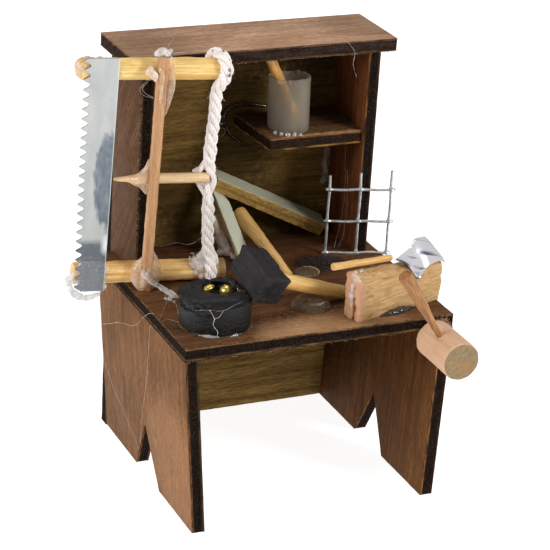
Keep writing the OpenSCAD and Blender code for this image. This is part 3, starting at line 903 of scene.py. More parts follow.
def sheet(name, outline, thick, place):
    """A flat sheet cut along an outline in mm, lying in the XY plane of place."""
    curve = bpy.data.curves.new(name, "CURVE")
    curve.dimensions = "2D"
    curve.fill_mode = "BOTH"
    curve.extrude = thick / 2 * MM
    spline = curve.splines.new("POLY")
    spline.points.add(len(outline) - 1)
    for point, (x, y) in zip(spline.points, outline):
        point.co = (x * MM, y * MM, 0, 1)
    spline.use_cyclic_u = True
    obj = as_mesh(name, curve)
    obj.matrix_world = place
    fix_in_place(obj)
    pick(obj)
    bpy.ops.mesh.remove_doubles(threshold=ONE_POINT)
    bpy.ops.mesh.normals_make_consistent(inside=False)
    leave()
    return obj


def saw_plane(side):
    """Where a sheet lies in the saw: its X across, its Y up, and side mm out of the saw's middle."""
    return SAW @ Matrix.Translation(Vector((0, side * MM, 0))) @ turned(90, "X")


steel, tree = new_material("bright_steel")
haze = flecks(tree, (0, 0, 1), (14, 5, 5), 0.35, 0.7, 3, 0.6)
rubbed = flecks(tree, saw_along, (5, 0.16, 0.16), 0.5, 0.7, 3, 0.1)
tone = add(tree, "Mix", haze, "#b4b6b3", "#a5a9a9")
ragged = add(tree, "Math MULTIPLY", flecks(tree, (0, 0, 1), (3, 1, 1), 0.3, 0.7, 4), 0.25)
# painted reflection: a mottled blue-grey oval at the back of the blade
painted_reflection_patch = oval(tree, on(SAW, -7.9, BLADE_SIDE, TOGGLE_AT), (4.3, 9, 12.0), ragged)
inside = add(tree, "MapRange", painted_reflection_patch, 1.16, 0.96, 0.0, 0.85)
mottled = flecks(tree, (0, 0, 1), (1.6, 0.8, 0.8), 0.35, 0.7, 4, 0.6)
tone = add(tree, "Mix", inside, tone, add(tree, "Mix", mottled, "#46525f", "#6c7883"))
# painted reflection: below this level the blade turns a darker, mottled blue-grey
below = add(tree, "MapRange", along_line(tree, saw_up, SAW.translation), -37.6, -39.0, 0.0, 0.8)
painted_dark_reflection = add(tree, "Mix", rubbed, "#3c4651", "#7c868e")
tone = add(tree, "Mix", below, tone, add(tree, "Mix", mottled, painted_dark_reflection, "#303c4a"))
# painted highlight: a pale oval low on the blade
gleam = oval(tree, on(SAW, -8.2, BLADE_SIDE, -39.2), (1.3, 9, 2.4), ragged)
tone = add(tree, "Mix", add(tree, "MapRange", gleam, 1.3, 0.5, 0.0, 0.8), tone, "#e9eef0")
# painted glint: a pale line along the blade's back edge
across = along_line(tree, saw_along, SAW.translation)
painted_edge_glint = add(tree, "MapRange", across, BLADE_BACK - 0.24, BLADE_BACK - 0.12, 0.0, 0.5)
tone = add(tree, "Mix", painted_edge_glint, tone, "#dfe5e7")
tone = add(tree, "Mix", facing(tree, saw_out, 0.9, 0.6), tone, "#2a2d2c")
surface(tree, Base_Color=tone, Metallic=0.6, Roughness=(haze, 0.26, 0.36), bump=(rubbed, 0.01, 0.3))
outline = [(BLADE_BACK, BLADE_HEAD), (BLADE_BACK, BLADE_FOOT)]
outline += [(toothed_edge(w), w) for w in np.arange(BLADE_FOOT, BLADE_HEAD, TOOTH_PITCH / 10)]
outline += [(toothed_edge(BLADE_HEAD), BLADE_HEAD)]
blade = ease_edges(sheet("blade", outline, 0.26, saw_plane(BLADE_SIDE)), 0.07, 1)
settle(blade, steel, "blade_steel", "saw_blade", smooth=20)

# %% [markdown]
# ## Fire pot and hammer head
#
# Both are blocks dipped in black paint. The pot is a slice of dowel with a hollow gouged in one side,
# and the hammer head is a length of square stick scored with a knife. Thick paint rounds the corners,
# pools in the cuts and dries with a slight shine.

# %% Black paint
def black_paint(name, tone, worn, rough, gloss=0.3, painted_shade=None):
    """Thick black paint on rough wood. The last argument, if given, is painted shade: a place where the
    paint is blackest, and how far that reaches.
    """
    mat, tree = new_material(name)
    brush = flecks(tree, (1, 0, 0), (0.9, 0.5, 0.5), 0.35, 0.75, 5, 0.5)
    dust = flecks(tree, (1, 0, 0), (0.25, 0.25, 0.25), 0.62, 0.78, 3, 0, (4, 4, 1))
    colour = add(tree, "Mix", brush, tone, worn)
    colour = tinted(tree, colour, dust, 0.22, "#4a4848")
    # painted shade: the paint darkens to black towards one place
    if painted_shade:
        centre, radius = painted_shade
        colour = add(tree, "Mix", spot_at(tree, centre, radius, radius * 0.3), colour, "#040404")
    surface(tree, Base_Color=colour, Specular_IOR_Level=gloss,
            Roughness=(brush, rough, rough + 0.25),
            bump=(brush, 0.1, 1.0))
    return mat


POT_X, POT_Y = 11, 10.9
POT = leaning_frame(POT_X, POT_Y, TOP)
pot = reskin(node_copy("charcoal_pot", "fire_pot"), 0.2, 2)
carve(pot, POT, (4, 4, 4), 0.12, 2)
carve(pot, POT, (3.5, 3.5, 0.55), 0.9, 2,
    lambda p: p.z > 4.6 and p.xy.length > 5.6 and (p.x < -3 or p.y > 3.4))
for v in pot.data.vertices:
    x, y, z = POT.inverted() @ v.co / MM
    worn_from = -2.9 - 0.12 * x
    if z > 5.5 and y < worn_from:
        v.co.z -= 0.75 * min(1.0, (worn_from - y) / 0.5) * MM
# the pot's paint has painted shade at its front foot
settle(roughen(pot, 0.1, 0.7), black_paint("black_pot_paint", "#161617", "#29292a", 0.3, 0.25,
       (at(10.5, 2.4, TOP + 0.4), 10.5)), "charcoal",
       "charcoal_pot", smooth=60)
ember = roughen(reskin(node_copy("ember_fill", "embers"), 0.2), 0.6, 0.9)
settle(ember, black_paint("charred_wood", "#0c0a0a", "#221c18", 0.6), "ember", "ember_fill", smooth=60)
block = reskin(node_copy("hammer_head", "hammer_block"), 0.2)
carve(block, HAMMER, (1.9, 7.0, 1.9), 0.34, 2)
carve(block, HAMMER, (0.7, 3.0, 0.7), 0.2, 2, lambda p: p.z > 2.2 and p.x > -1.5 and -3 < p.y < 5)
# the hammer head's paint has painted shade at its front end
settle(roughen(block, 0.14, 0.8), black_paint("black_hammer_paint", "#1e1c1e", "#2c292b", 0.45, 0.22,
       (on(HAMMER, 0, -5.5, -0.5), 5.0)), "charcoal",
       "hammer_head", smooth=60)

# %% [markdown]
# ## Beads
#
# Two gold-plated beads glow in the pot. One is round, and the other is half sunk and pulled to a drop
# by the glue, so it is a sphere drawn out sideways.

# %% Gold beads
gold, tree = new_material("gold_plate")
tarnish = flecks(tree, (1, 0, 0), (0.8, 0.8, 0.8), 0.4, 0.7, 3)
surface(tree, Base_Color=add(tree, "Mix", tarnish, "#f4d878", "#c9a04a"), Metallic=0.85,
        Roughness=(tarnish, 0.16, 0.3))
low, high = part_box("gold_beads")
RIGHT_BEAD, LEFT_BEAD = 1.45, 1.0
right_at = (high.x - (RIGHT_BEAD - 0.5) * MM, low.y + (RIGHT_BEAD - 0.3) * MM, high.z - RIGHT_BEAD * MM)
left_at = (low.x + LEFT_BEAD * MM, high.y - LEFT_BEAD * MM, low.z + LEFT_BEAD * MM)
pair = []
for place, radius in ((right_at, RIGHT_BEAD), (left_at, LEFT_BEAD)):
    bpy.ops.mesh.primitive_uv_sphere_add(segments=32, ring_count=20, radius=radius * MM, location=place)
    pair.append(fix_in_place(bpy.context.object))
right_bead, left_bead = pair
for v in left_bead.data.vertices:
    run = (v.co.x - low.x) / MM / (2 * LEFT_BEAD)
    thin = 1 - 0.5 * max(0.0, run - 0.3)
    v.co.y = high.y - LEFT_BEAD * MM + (v.co.y - high.y + LEFT_BEAD * MM) * thin
    v.co.z = low.z + LEFT_BEAD * MM + (v.co.z - low.z - LEFT_BEAD * MM) * thin * 0.85 + 0.9 * run * MM
    v.co.x += (0.9 * run - 0.4) * MM
settle(roughen(join("beads", right_bead, left_bead), 0.05, 1.4), gold, "gold", "gold_beads", smooth=80)

# %% [markdown]
# ## Try square
#
# The square's stock is a strip of fibreboard. Its top and bottom are painted a grey green, and its
# sawn edge shows the golden board, with a darker line through the middle. Its arm is a thinner strip
# of the same board, painted on its faces and paler on its edges.

# %% Square
def painted_board(name, node, across, along, face, core, line):
    """Fibreboard painted on the faces that look across, bare on its edges."""
    mat, tree = new_material(name)
    low, high = depth_range(node, across)
    share = add(tree, "MapRange", along_line(tree, across), low, high)
    fluff = flecks(tree, along, (1.6, 0.3, 0.3), 0.35, 0.7, 4)
    speckle = flecks(tree, along, (0.9, 0.4, 0.4), 0.44, 0.6, 4, 0.5)
    edge = add(tree, "ValToRGB", share, stops=[(0.0, core), (0.3, core), (0.46, line), (0.62, core),
                                               (0.93, core), (0.97, face)])
    edge = tinted(tree, edge, fluff, 0.5, core)
    edge = tinted(tree, edge, speckle, 0.75, line)
    scuffs = flecks(tree, along, (3.0, 0.9, 0.9), 0.5, 0.8, 4, 0.4, (3, 1, 2))
    coat = tinted(tree, face, scuffs, 0.5, core)
    on_face = facing(tree, across, 0.6, 0.8)
    surface(tree, Base_Color=add(tree, "Mix", on_face, edge, coat), Roughness=0.6, bump=(fluff, 0.04, 0.8))
    return mat


stock_up, stock_along = pointing(STOCK, 0, 0, 1), pointing(STOCK, 1, 0, 0)
stock = reskin(node_copy("square_stock", "stock"), 0.2)
settle(roughen(stock, 0.2, 1.8), painted_board("painted_fibreboard", "square_stock", stock_up, stock_along,
       "#a0a28c", "#b08c46", "#6e5426"), "painted_mdf", "square_stock")
arm_run = Vector((SQUARE_X + 0.9, DEPTH - 3.6, STOCK_TOP)) - Vector((SQUARE_X + 4.5, DEPTH - 15.8, TOP))
arm_across = arm_run.normalized().cross(ACROSS).normalized()
arm = reskin(node_copy("square_blade", "arm"), 0.16)
settle(roughen(arm, 0.12, 1.2), painted_board("painted_strip", "square_blade", arm_across, arm_run,
       "#b3b6a2", "#d2c39a", "#8f8060"), "arm_grey", "square_blade")

# %% [markdown]
# ## Wire grid
#
# A cutting of galvanised mesh, three wires by three. In the factory the cross wires are laid over the
# uprights and welded, then the whole mesh is dipped in zinc, which fills each crossing with a small
# bulge. Each wire is a tube whose radius swells where it crosses another.

# %% Galvanised grid
GRID = leaning_frame(49.5, 39.7, TOP, -16)
WIRE_R, MESH_X, MESH_Z = 0.32, 7.2, 7.8


def swelling(run, crossings):
    """The wire's radius at a distance along it: thicker by half at each weld."""
    near = min(abs(run - c) for c in crossings)
    return WIRE_R * (1 + 0.6 * math.exp(-((near / 0.42) ** 2)) + 0.05 * math.sin(run * 2.3))


across_at = [0.9 + i * MESH_X for i in range(3)]
up_at = [WIRE_R + k * MESH_Z for k in range(3)]
wires = []
for i, x in enumerate(across_at):
    tall = 2 * MESH_Z + 3.6 + 0.6 * i
    wires.append([(on(GRID, x + 0.1 * math.sin(z * 0.5 + i) * z / tall, WIRE_R * 0.8, z), swelling(z, up_at))
                  for z in np.linspace(0.05, tall, 60)])
for k, z in enumerate(up_at):
    wires.append([(on(GRID, x, -WIRE_R * 0.8, z + 0.08 * math.sin(x * 0.7 + k)), swelling(x, across_at))
                  for x in np.linspace(0, 2 * MESH_X + 1.8, 56)])
zinc, tree = new_material("galvanised_wire")
spangle = flecks(tree, (1, 0, 0), (0.9, 0.9, 0.9), 0.35, 0.7, 4)
surface(tree, Base_Color=add(tree, "Mix", spangle, "#d4d6d6", "#9a9e9f"), Metallic=0.75,
        Roughness=(spangle, 0.32, 0.5),
        bump=(spangle, 0.03, 0.8))
settle(tubes("grid", wires, 3), zinc, "wire", "wire_grid", smooth=80)

# %% [markdown]
# ## Chopping log
#
# A short piece split from a branch of curly wood, with a slot sawn in its left end and a cleft where
# the axe bit. Splitting leaves long ridges along the grain, so the block is carved by a pattern that
# is stretched along the log. Its end has a pink cast, and its sides are straw yellow.

# %% Log
log = node_copy("chopping_log", "log")
bpy.ops.mesh.primitive_cube_add(size=1)
slot = bpy.context.object
slot.matrix_world = LOG @ Matrix.Translation(Vector((0, 1.75, 2.0)) * MM) @ Matrix.Diagonal(
    (3.2 * MM, 0.7 * MM, 6.4 * MM, 1))
finish_with(log, "BOOLEAN", object=slot, operation="DIFFERENCE", solver="EXACT")
bpy.data.objects.remove(slot)
reskin(log, 0.2)
carve(log, LOG, (8.0, 2.0, 1.6), 0.26, 3)
AXE = LOG @ Matrix.Translation(Vector((AXE_X, 0.2, 8.85)) * MM) @ turned(28.9, "X")


def foil_fold(x, y):
    """How deep the foil dips into the cleft, in mm, at a place in the axe head's own frame."""
    back = min(1.0, max(0.0, (y + 0.8) / 7))
    fold = math.exp(-(((x + 7.6 - 2.2 * back) / (1.5 + 1.2 * back)) ** 2))
    return fold * (2.0 * (1 - back) ** 1.3 + 0.6 * back)


for v in log.data.vertices:
    x, y, z = AXE.inverted() @ v.co / MM
    depth = foil_fold(x, y + 0.5)
    if depth > 0.1:
        v.co = on(AXE, x, y, min(z, 0.1 - 0.95 * depth))
carve(log, LOG, (3.0, 0.5, 0.4), 0.05, 2)
pale_log, tree = new_material("split_curly_wood")
log_along = pointing(LOG, 1, 0, 0.12)
curl = flecks(tree, log_along, (5.0, 0.8, 0.35), 0.35, 0.65, 4, 1.6)
fine = flecks(tree, log_along, (7.0, 0.3, 0.2), 0.4, 0.68, 4, 0.9)
knots = flecks(tree, log_along, (3.0, 1.8, 1.3), 0.6, 0.72, 2, 0.5, (3, 9, 2))
wood = add(tree, "Mix", curl, "#cfae7e", "#b28a56")
wood = tinted(tree, wood, fine, 0.42, "#936a3b")
wood = tinted(tree, wood, knots, 0.55, "#8a6236")
reach = along_line(tree, pointing(LOG, 1, 0, 0), LOG.translation)
blush = add(tree, "MapRange", reach, 2.2, 0.5, 0.0, 0.8)
wood = tinted(tree, wood, blush, flecks(tree, (0, 0, 1), (5, 1.5, 1.5), 0.2, 0.55, 3), "#d8a184")
for spot, size in (((5.0, 0, 3.6), 1.6), ((8.2, 0, 5.4), 1.3)):
    torn = add(tree, "Math MULTIPLY", curl, size * 0.8)
    patch = spot_at(tree, on(LOG, *spot), size * 1.5, size * 0.6, 0.55, torn)
    wood = add(tree, "Mix", patch, wood, "#94713f")
surface(tree, Base_Color=wood, Roughness=0.72, Specular_IOR_Level=0.3, bump=(fine, -0.08, 1.0))
settle(log, pale_log, "pale_wood", "chopping_log", smooth=70)

# %% [markdown]
# ## Axe head
#
# The axe head is cut from aluminium foil tape and pressed over the log, so it is a bent mirror with
# a fold where it dips into the log's cleft. The CAD plate is cut into a fine lattice, thinned to foil
# and folded by one smooth function, because the eye reads any kink in a mirror at once.

# %% Foil axe head
def lattice(obj, tool, steps):
    """Cuts a plate across the tool's X, Y or Z axis at even steps: steps is {axis: (from, to, step)}."""
    for axis, (start, stop, step) in steps.items():
        normal = Vector([float(k == axis) for k in range(3)])
        for place in np.arange(start, stop, step):
            pick(obj)
            bpy.ops.mesh.bisect(plane_co=tool @ (normal * float(place) * MM),
                plane_no=pointing(tool, *normal))
            leave()
    return obj


foil = lattice(node_copy("axe_head", "axe_foil"), AXE, {0: (-11.4, 1.4, 0.4), 1: (-0.6, 7.6, 0.4)})
for v in foil.data.vertices:
    x, y, z = AXE.inverted() @ v.co / MM
    sunk = foil_fold(x, y)
    z = 0.4 + 0.12 * z / 0.5 + 0.25 * math.sin(0.5 * x + 0.2 * y + 2.4) - 0.2 * max(0, x + 0.4) ** 2
    v.co = on(AXE, x, y - 0.48 * sunk, z - 0.88 * sunk)
chrome, tree = new_material("foil_tape")
# painted reflection: dark blue-grey bands across the pale foil; the same pattern gives the foil a slight
# bump
creases_and_painted_reflection = flecks(tree, pointing(AXE, 0.85, -0.5, 0), (8.0, 1.8, 1.8), 0.52, 0.66, 1, 0.2)
surface(tree, Base_Color=add(tree, "Mix", creases_and_painted_reflection, "#e6e4ea", "#5e5e72"), Metallic=0.55,
        Roughness=0.16, bump=(creases_and_painted_reflection, 0.04, 0.3))
settle(foil, chrome, "axe_foil", "axe_head", smooth=60)

# %% [markdown]
# ## Mallet
#
# The mallet's head is a slice of beech dowel. Its side is pinkish and finely streaked, and its sawn
# ends are greyer, with brown flecks where the vessels were cut across. The end is told from the side
# by the normal. Loose fibres stand up round the hole that its handle was pushed into.

# %% Mallet head
mallet_r = (mallet_hi.x - mallet_lo.x) / 2 / MM + 0.2
mallet_l = (mallet_hi.y - mallet_lo.y) / MM
bpy.ops.mesh.primitive_cylinder_add(vertices=64, radius=mallet_r * MM, depth=mallet_l * MM, location=hub,
                                    rotation=(math.pi / 2, 0, 0))
mallet = fix_in_place(bpy.context.object)
mallet.name = "mallet"
reskin(ease_edges(mallet, 0.35, 3), 0.22)
roughen(carve(mallet, leaning_frame(0, 0, 0, 90), (6.0, 1.2, 1.2), 0.07, 2), 0.08, 1.5)
beech, tree = new_material("beech_dowel")
streaks = flecks(tree, (0, 1, 0), (6.0, 0.3, 0.3), 0.35, 0.7, 4, 0.2)
side = add(tree, "Mix", streaks, "#caa688", "#b68e70")
rings = flecks(tree, (1, 0, 0.4), (1.4, 5, 0.5), 0.35, 0.7, 4, 0.8)
end = add(tree, "Mix", rings, "#90795a", "#6f5e40")
vessels = flecks(tree, (1, 0, 0), (0.5, 2, 0.35), 0.6, 0.72, 2, 0.4, (1, 2, 5))
hole = hub + Vector((0.6, 0, -0.8)) * MM
near = add(tree, "VectorMath DISTANCE", add(tree, "VectorMath MULTIPLY", millimetres(tree), (1, 0, 1)),
           (hole.x / MM, 0, hole.z / MM))
near = add(tree, "MapRange", near, 3.2, 0.8)
end = tinted(tree, end, vessels, near, "#9a5a2a")
torn = flecks(tree, (1, 0, 0), (0.9, 2, 0.6), 0.3, 0.7, 4)
blot = oval(tree, hub + Vector((0.9, 0, -1.1)) * MM, (2.6, math.inf, 1.2), torn)
end = add(tree, "Mix", add(tree, "MapRange", blot, 1.5, 0.6, 0.0, 0.75), end, "#9c6834")
is_end = facing(tree, DEEP, 0.75, 0.92)
surface(tree, Base_Color=add(tree, "Mix", is_end, side, end), Roughness=0.65,
        Specular_IOR_Level=0.3, bump=(streaks, -0.03, 0.8))
burrs = []
for i in range(70):
    turn = random.uniform(0.1, 1.2)
    start = Vector((hub.x + mallet_r * MM * math.sin(turn) * random.choice((1, 1, -0.4)),
                    mallet_hi.y - random.uniform(0.0, 0.7) * MM,
                    hub.z + mallet_r * MM * math.cos(turn * 0.9)))
    drift = Vector((random.gauss(0.2, 0.5), random.gauss(0.1, 0.4), random.gauss(0.5, 0.4))) * MM
    burrs.append([(start, 0.03), (start + drift * 0.6, 0.025), (start + drift, 0.012)])
settle(join("mallet", mallet, tubes("burrs", burrs)), beech, "mallet_wood", "mallet_head", smooth=60)

# %% [markdown]
# ## Frosted jar
#
# The jar is a cut piece of frosted plastic tube. Its wall lets light through and blurs what stands
# behind, which is transmission with a high roughness, and it is a little milky, so part of the light
# is scattered white. Its rim was snapped off and is ragged.

# %% Jar
jar_lo, jar_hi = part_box("jar")
JAR = Matrix.Translation(Vector(((jar_lo.x + jar_hi.x) / 2, (jar_lo.y + jar_hi.y) / 2, jar_lo.z)))
jar = node_copy("jar", "frosted_jar")
reskin(jar, 0.2)
jar_tall = (jar_hi.z - jar_lo.z) / MM
for v in jar.data.vertices:
    x, y, z = JAR.inverted() @ v.co / MM
    v.co.z -= (1.3 * (0.5 + y / 9.5) - 0.1) * max(0.0, (z - 6) / (jar_tall - 6)) * MM
carve(jar, JAR, (0.8, 0.8, 1.0), 0.3, 3, lambda place: place.z > jar_tall - 1.6)
for v in jar.data.vertices:
    v.co.x -= math.tan(math.radians(3.2)) * (v.co.z - jar_lo.z) - 0.6 * MM
frost, tree = new_material("frosted_tube")
cloud = flecks(tree, (0, 0, 1), (4, 2.2, 2.2), 0.3, 0.75, 3)
surface(tree, Base_Color=add(tree, "Mix", cloud, "#d2c8b6", "#aca292"),
        Transmission_Weight=0.72, IOR=1.2, Roughness=0.42, Alpha=(cloud, 0.56, 0.7),
        bump=(cloud, 0.05, 0.2))
settle(jar, frost, "frosted", "jar", smooth=60)

# %% [markdown]
# ## Hot glue
#
# Every tool is held by hot glue: a soft clear plastic that comes out of the gun as a hot drop, slumps,
# and draws out into hairs as the gun is pulled away. Drops that touch run together, and metaballs do
# the same, so each blob is a few metaballs turned into a mesh. Metaballs are made in millimetres and
# then scaled, because they misbehave at a thousandth of a metre.

# %% Glue finish and drops
def hot_glue(name, tint, seen, rough, froth_size=0.35, froth_most=0.5, clear=0.7, cloudy="#ffffff"):
    """Ethylene glue. seen is how much of it is seen; the rest of the light goes straight through."""
    mat, tree = new_material(name)
    cloud = flecks(tree, (1, 0, 0), (1.6, 1.6, 1.6), 0.3, 0.75, 3)
    froth = flecks(tree, (1, 0, 0), (froth_size, froth_size, froth_size), 0.6, 0.75, 2)
    tone = add(tree, "Mix", cloud, tint, cloudy)
    surface(tree, Base_Color=tone, Transmission_Weight=clear, IOR=1.46, Roughness=rough,
            Alpha=(cloud, seen * 0.8, min(1.0, seen * 1.2)),
            bump=(froth, 0.05, froth_most))
    return mat


pink_glue = hot_glue("hot_glue_pink", "#dcb9a0", 0.85, 0.25, 0.5, 0.8, 0.3)
smooth_glue = hot_glue("hot_glue_smooth", "#eccba4", 0.62, 0.12, 1.2, 0.1, 0.5, "#f4dcc4")
clear_glue = hot_glue("hot_glue_clear", "#cfa57c", 0.36, 0.05, 1.2, 0.3, 0.7, "#d8c2ac")
# pale frosted glue; on the clear glue under the hammer, round the pot's foot and at the jar's foot it is
# drawn as painted glints
frosty_glue_and_glints = hot_glue("hot_glue_frosty_and_glints", "#f0ecec", 0.6, 0.15, 0.5, 0.8, 0.55)
film_glue = hot_glue("hot_glue_film", "#e8eaec", 0.3, 0.25, 0.7, 0.9)
puddle_glue = hot_glue("hot_glue_puddle", "#b0906e", 0.5, 0.08, 1.6, 0.3, 0.55, "#a89884")
dark_glue = hot_glue("hot_glue_dark", "#3a2a10", 0.6, 0.12, 0.9, 0.3, 0.3, "#1c1205")
hem_glue = hot_glue("hot_glue_hem", "#c8c4c2", 0.85, 0.3, 0.4, 0.9, 0.35)
amber_glue = hot_glue("hot_glue_amber", "#e0b064", 0.75, 0.35)
brown_glue = hot_glue("hot_glue_brown", "#a98468", 0.4, 0.2)
char_glue = hot_glue("glue_over_char", "#2c2520", 0.9, 0.08, 0.6, 0.3, 0.3, "#5a524c")
DROP = 0.575  # a lone metaball's surface lies at this share of its radius


def drops(name, beads, finish, lumps=0.12, flat=None):
    """Glue drops that ran together: each bead is a place in metres and its radius in mm. Glue that lies
    on a board is pressed flat at that height in mm."""
    (place, radius), rest = beads[0], beads[1:]
    bpy.ops.object.metaball_add(type="BALL", radius=radius / DROP, location=(0, 0, 0))
    ball = bpy.context.object
    ball.name = "ball_" + name.replace("_", "")
    ball.data.resolution = 0.22
    ball.data.elements[0].co = place / MM
    for place, radius in rest:
        element = ball.data.elements.new()
        element.co = place / MM
        element.radius = radius / DROP
    bpy.ops.object.convert(target="MESH")
    obj = bpy.context.object
    obj.name = name
    obj.scale = (MM, MM, MM)
    fix_in_place(obj)
    if flat is not None:
        for v in obj.data.vertices:
            v.co.z = max(v.co.z, flat * MM)
    return settle(roughen(obj, lumps, 0.8), finish, "glue", smooth=70)


def trail(points, radii, step=0.5):
    """Beads step mm apart along a soft line in mm, with the radius passing evenly through radii."""
    line = smooth_path(points, step)
    sizes = np.interp(np.linspace(0, 1, len(line)), np.linspace(0, 1, len(radii)), radii)
    return [(Vector(p), float(r)) for p, r in zip(line, sizes)]


def placed(tool, beads):
    """Beads in a tool's frame as beads in the room."""
    return [(on(tool, *p), r) for p, r in beads]


# %% Glue on the saw
drops("glue_slat_top", placed(SAW, trail([(-0.2, -3.2, 4.3), (1.0, -3.4, 5.0), (2.2, -3.2, 4.4)],
    (0.65, 0.8, 0.6)) + [((2.8, -3.0, 4.9), 0.35), ((1.0, -2.2, 4.3), 0.7), ((3.0, -3.2, 3.4), 0.4)]),
    frosty_glue_and_glints, lumps=0.5)
drops("glue_slat_left", placed(SAW, trail([(-1.4, -3.8, 1.6), (-1.7, -4.0, 0.6), (-0.8, -4.4, 0.0),
    (-0.5, -4.6, -1.0)], (0.4, 0.75, 0.8, 0.4)) + [((-2.2, -3.6, 0.4), 0.4)]), pink_glue, lumps=0.4)
drops("glue_slat_front", placed(SAW, trail([(0.0, -5.0, 1.6), (0.8, -5.1, 0.2), (0.8, -5.05, -3.0),
    (0.7, -5.0, -6.0)], (0.35, 0.5, 0.4, 0.25))), smooth_glue, lumps=0.3)
drops("glue_slat_side", placed(SAW, trail([(2.8, -3.0, 3.0), (3.2, -3.2, 0), (3.2, -3.6, -3),
    (2.9, -3.7, -6), (2.5, -3.7, -9)], (0.5, 0.8, 0.85, 0.6, 0.25))), smooth_glue, lumps=0.15)
drops("glue_toggle_web", placed(SAW, trail([(-0.1, -3.2, -19.4), (-0.5, -3.1, -21.4), (-0.9, -2.8, -23.4)],
    (0.25, 0.5, 1.1)) + trail([(-0.9, -2.4, -24.4), (-1.8, -2.0, -24.5), (-3.0, -1.6, -24.5)],
    (1.4, 1.15, 0.85)) + trail([(-0.6, -2.7, -25.6), (-0.2, -3.0, -27.2)], (0.9, 0.3))),
    smooth_glue, lumps=0.06)
drops("glue_collar", placed(SAW, trail([(0.1, -3.4, -42.2), (-0.6, -3.2, -44.0), (-1.1, -3.2, -46.0),
    (-0.5, -3.5, -48.2), (0.2, -3.8, -49.4)], (0.35, 0.9, 1.25, 1.0, 0.6))
    + trail([(2.3, -3.3, -40.8), (2.7, -3.2, -43.0), (3.0, -3.2, -45.4), (2.8, -3.5, -47.6),
    (2.3, -3.6, -49.2)], (0.3, 0.9, 1.3, 1.2, 0.7)) + [((1.0, -4.4, -46.6), 1.3), ((0.6, -4.3, -48.2), 1.0),
    ((1.4, -4.2, -44.6), 0.9)]), smooth_glue)
hanging = ((-0.3, -5.3, -45.2), (1.4, -5.7, -46.8), (3.0, -5.9, -48.0))
arm_line = [(on(SAW, *p) - BENCH.translation) / MM for p in hanging]
arm_line += [(6.4, 27.0, TOP + 0.7), (7.0, 25.2, TOP + 0.5)]
second = [Vector(p) + Vector((0.5, 0.5, 0.35)) for p in arm_line]
drops("glue_arm", placed(BENCH, trail(arm_line, (0.5, 0.4, 0.3, 0.4, 0.5))
    + trail(second, (0.4, 0.25, 0.25, 0.3, 0.4)) + [((6.0, 24.6, TOP + 0.4), 0.5),
    ((7.9, 25.2, TOP + 0.4), 0.4), ((7.4, 26.6, TOP + 0.6), 0.4), ((5.2, 25.2, TOP + 0.3), 0.3),
    ((6.6, 23.4, TOP + 0.3), 0.35)]), frosty_glue_and_glints, lumps=0.5)
drops("glue_rod_end", placed(SAW, [((-15.2, -0.4, 0.7), 1.9), ((-14.4, -1.0, 1.6), 1.3),
    ((-15.1, 0.1, -0.9), 1.4), ((-13.2, -1.2, 2.2), 0.8), ((-12.0, -1.4, 2.6), 0.6),
    ((-10.8, -1.6, 2.7), 0.4)]), amber_glue, lumps=0.5)
drops("glue_cord_foot", placed(SAW, trail([(12.2, -1.6, -45.0), (13.6, -2.1, -45.2), (15.0, -2.4, -46.0),
    (16.4, -2.4, -46.8)], (0.7, 1.0, 1.1, 0.9)) + [((14.4, -2.4, -47.4), 0.9), ((13.0, -2.0, -46.8), 0.8),
    ((16.6, -1.6, -44.6), 0.6)]), pink_glue, lumps=0.4)

# %% [markdown]
# ## Glue film at the blade's foot
#
# The blade's lower end is caught in a frosty film of glue with a torn edge, as wide as the blade. The
# film is a sheet whose outline is a loop made uneven with noise, thickened and then roughened.

# %% Glue film
corners = ((-13.6, -42.6), (-15.0, -44.6), (-15.3, -47.2), (-14.9, -49.3), (-13.2, -50.7), (-11.0, -50.9),
           (-8.9, -50.3), (-7.5, -48.6), (-7.6, -45.6), (-8.0, -43.6), (-10.6, -42.9), (-13.6, -42.6))
loop = smooth_path([(u, w, 0) for u, w in corners], 0.25)[:-1]
torn_loop = []
for u, w, _ in loop:
    outward = Vector((u + 11.4, w + 46.8)).normalized()
    most = 1.0 if w < -44 or u < -12 else 0.3
    tear = most * noise.fractal(Vector((u * 1.4, w * 1.4, 3)), 0.7, 2.2, 3)
    torn_loop.append((u + outward.x * tear, w + outward.y * tear))
film = reskin(sheet("glue_film", torn_loop, 0.5, saw_plane(-2.85)), 0.14)
settle(roughen(film, 0.6, 1.1), film_glue, "glue", smooth=60)
drops("glue_film_hem", placed(SAW, trail([(-15.6, -2.9, -45.4), (-16.0, -2.9, -47.6), (-15.2, -3.0, -49.8),
    (-13.2, -3.0, -51.2), (-11.0, -3.0, -51.3), (-8.8, -3.0, -50.5)],
    (0.3, 0.65, 0.5, 0.75, 0.45, 0.6, 0.25))), hem_glue, lumps=0.9)

# %% Glue behind the cord, under the hammer and round the pot
mass = trail([(24.6, 47.4, 54.4), (25.6, 46.8, 51.6), (26.6, 45.8, 48.6), (27.8, 44.0, 45.8)],
    (0.4, 0.9, 1.1, 1.0))
drops("glue_square", placed(BENCH, mass + [((26.2, 44.8, 45.6), 0.9), ((28.6, 42.4, 45.2), 0.8),
      ((27.4, 46.6, 46.2), 1.0)]), pink_glue, lumps=0.4, flat=TOP)
for node, name, depth in (("hammer_glue_pad", "glue_pad", 0.6), ("glue_disc", "glue_lens", 0.25)):
    dome = reskin(node_copy(node, name), 0.16)
    settle(roughen(dome, depth, 2.4), puddle_glue, "glue", node, smooth=80)
pad_lo, pad_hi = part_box("hammer_glue_pad")
lens_lo, lens_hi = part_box("glue_disc")
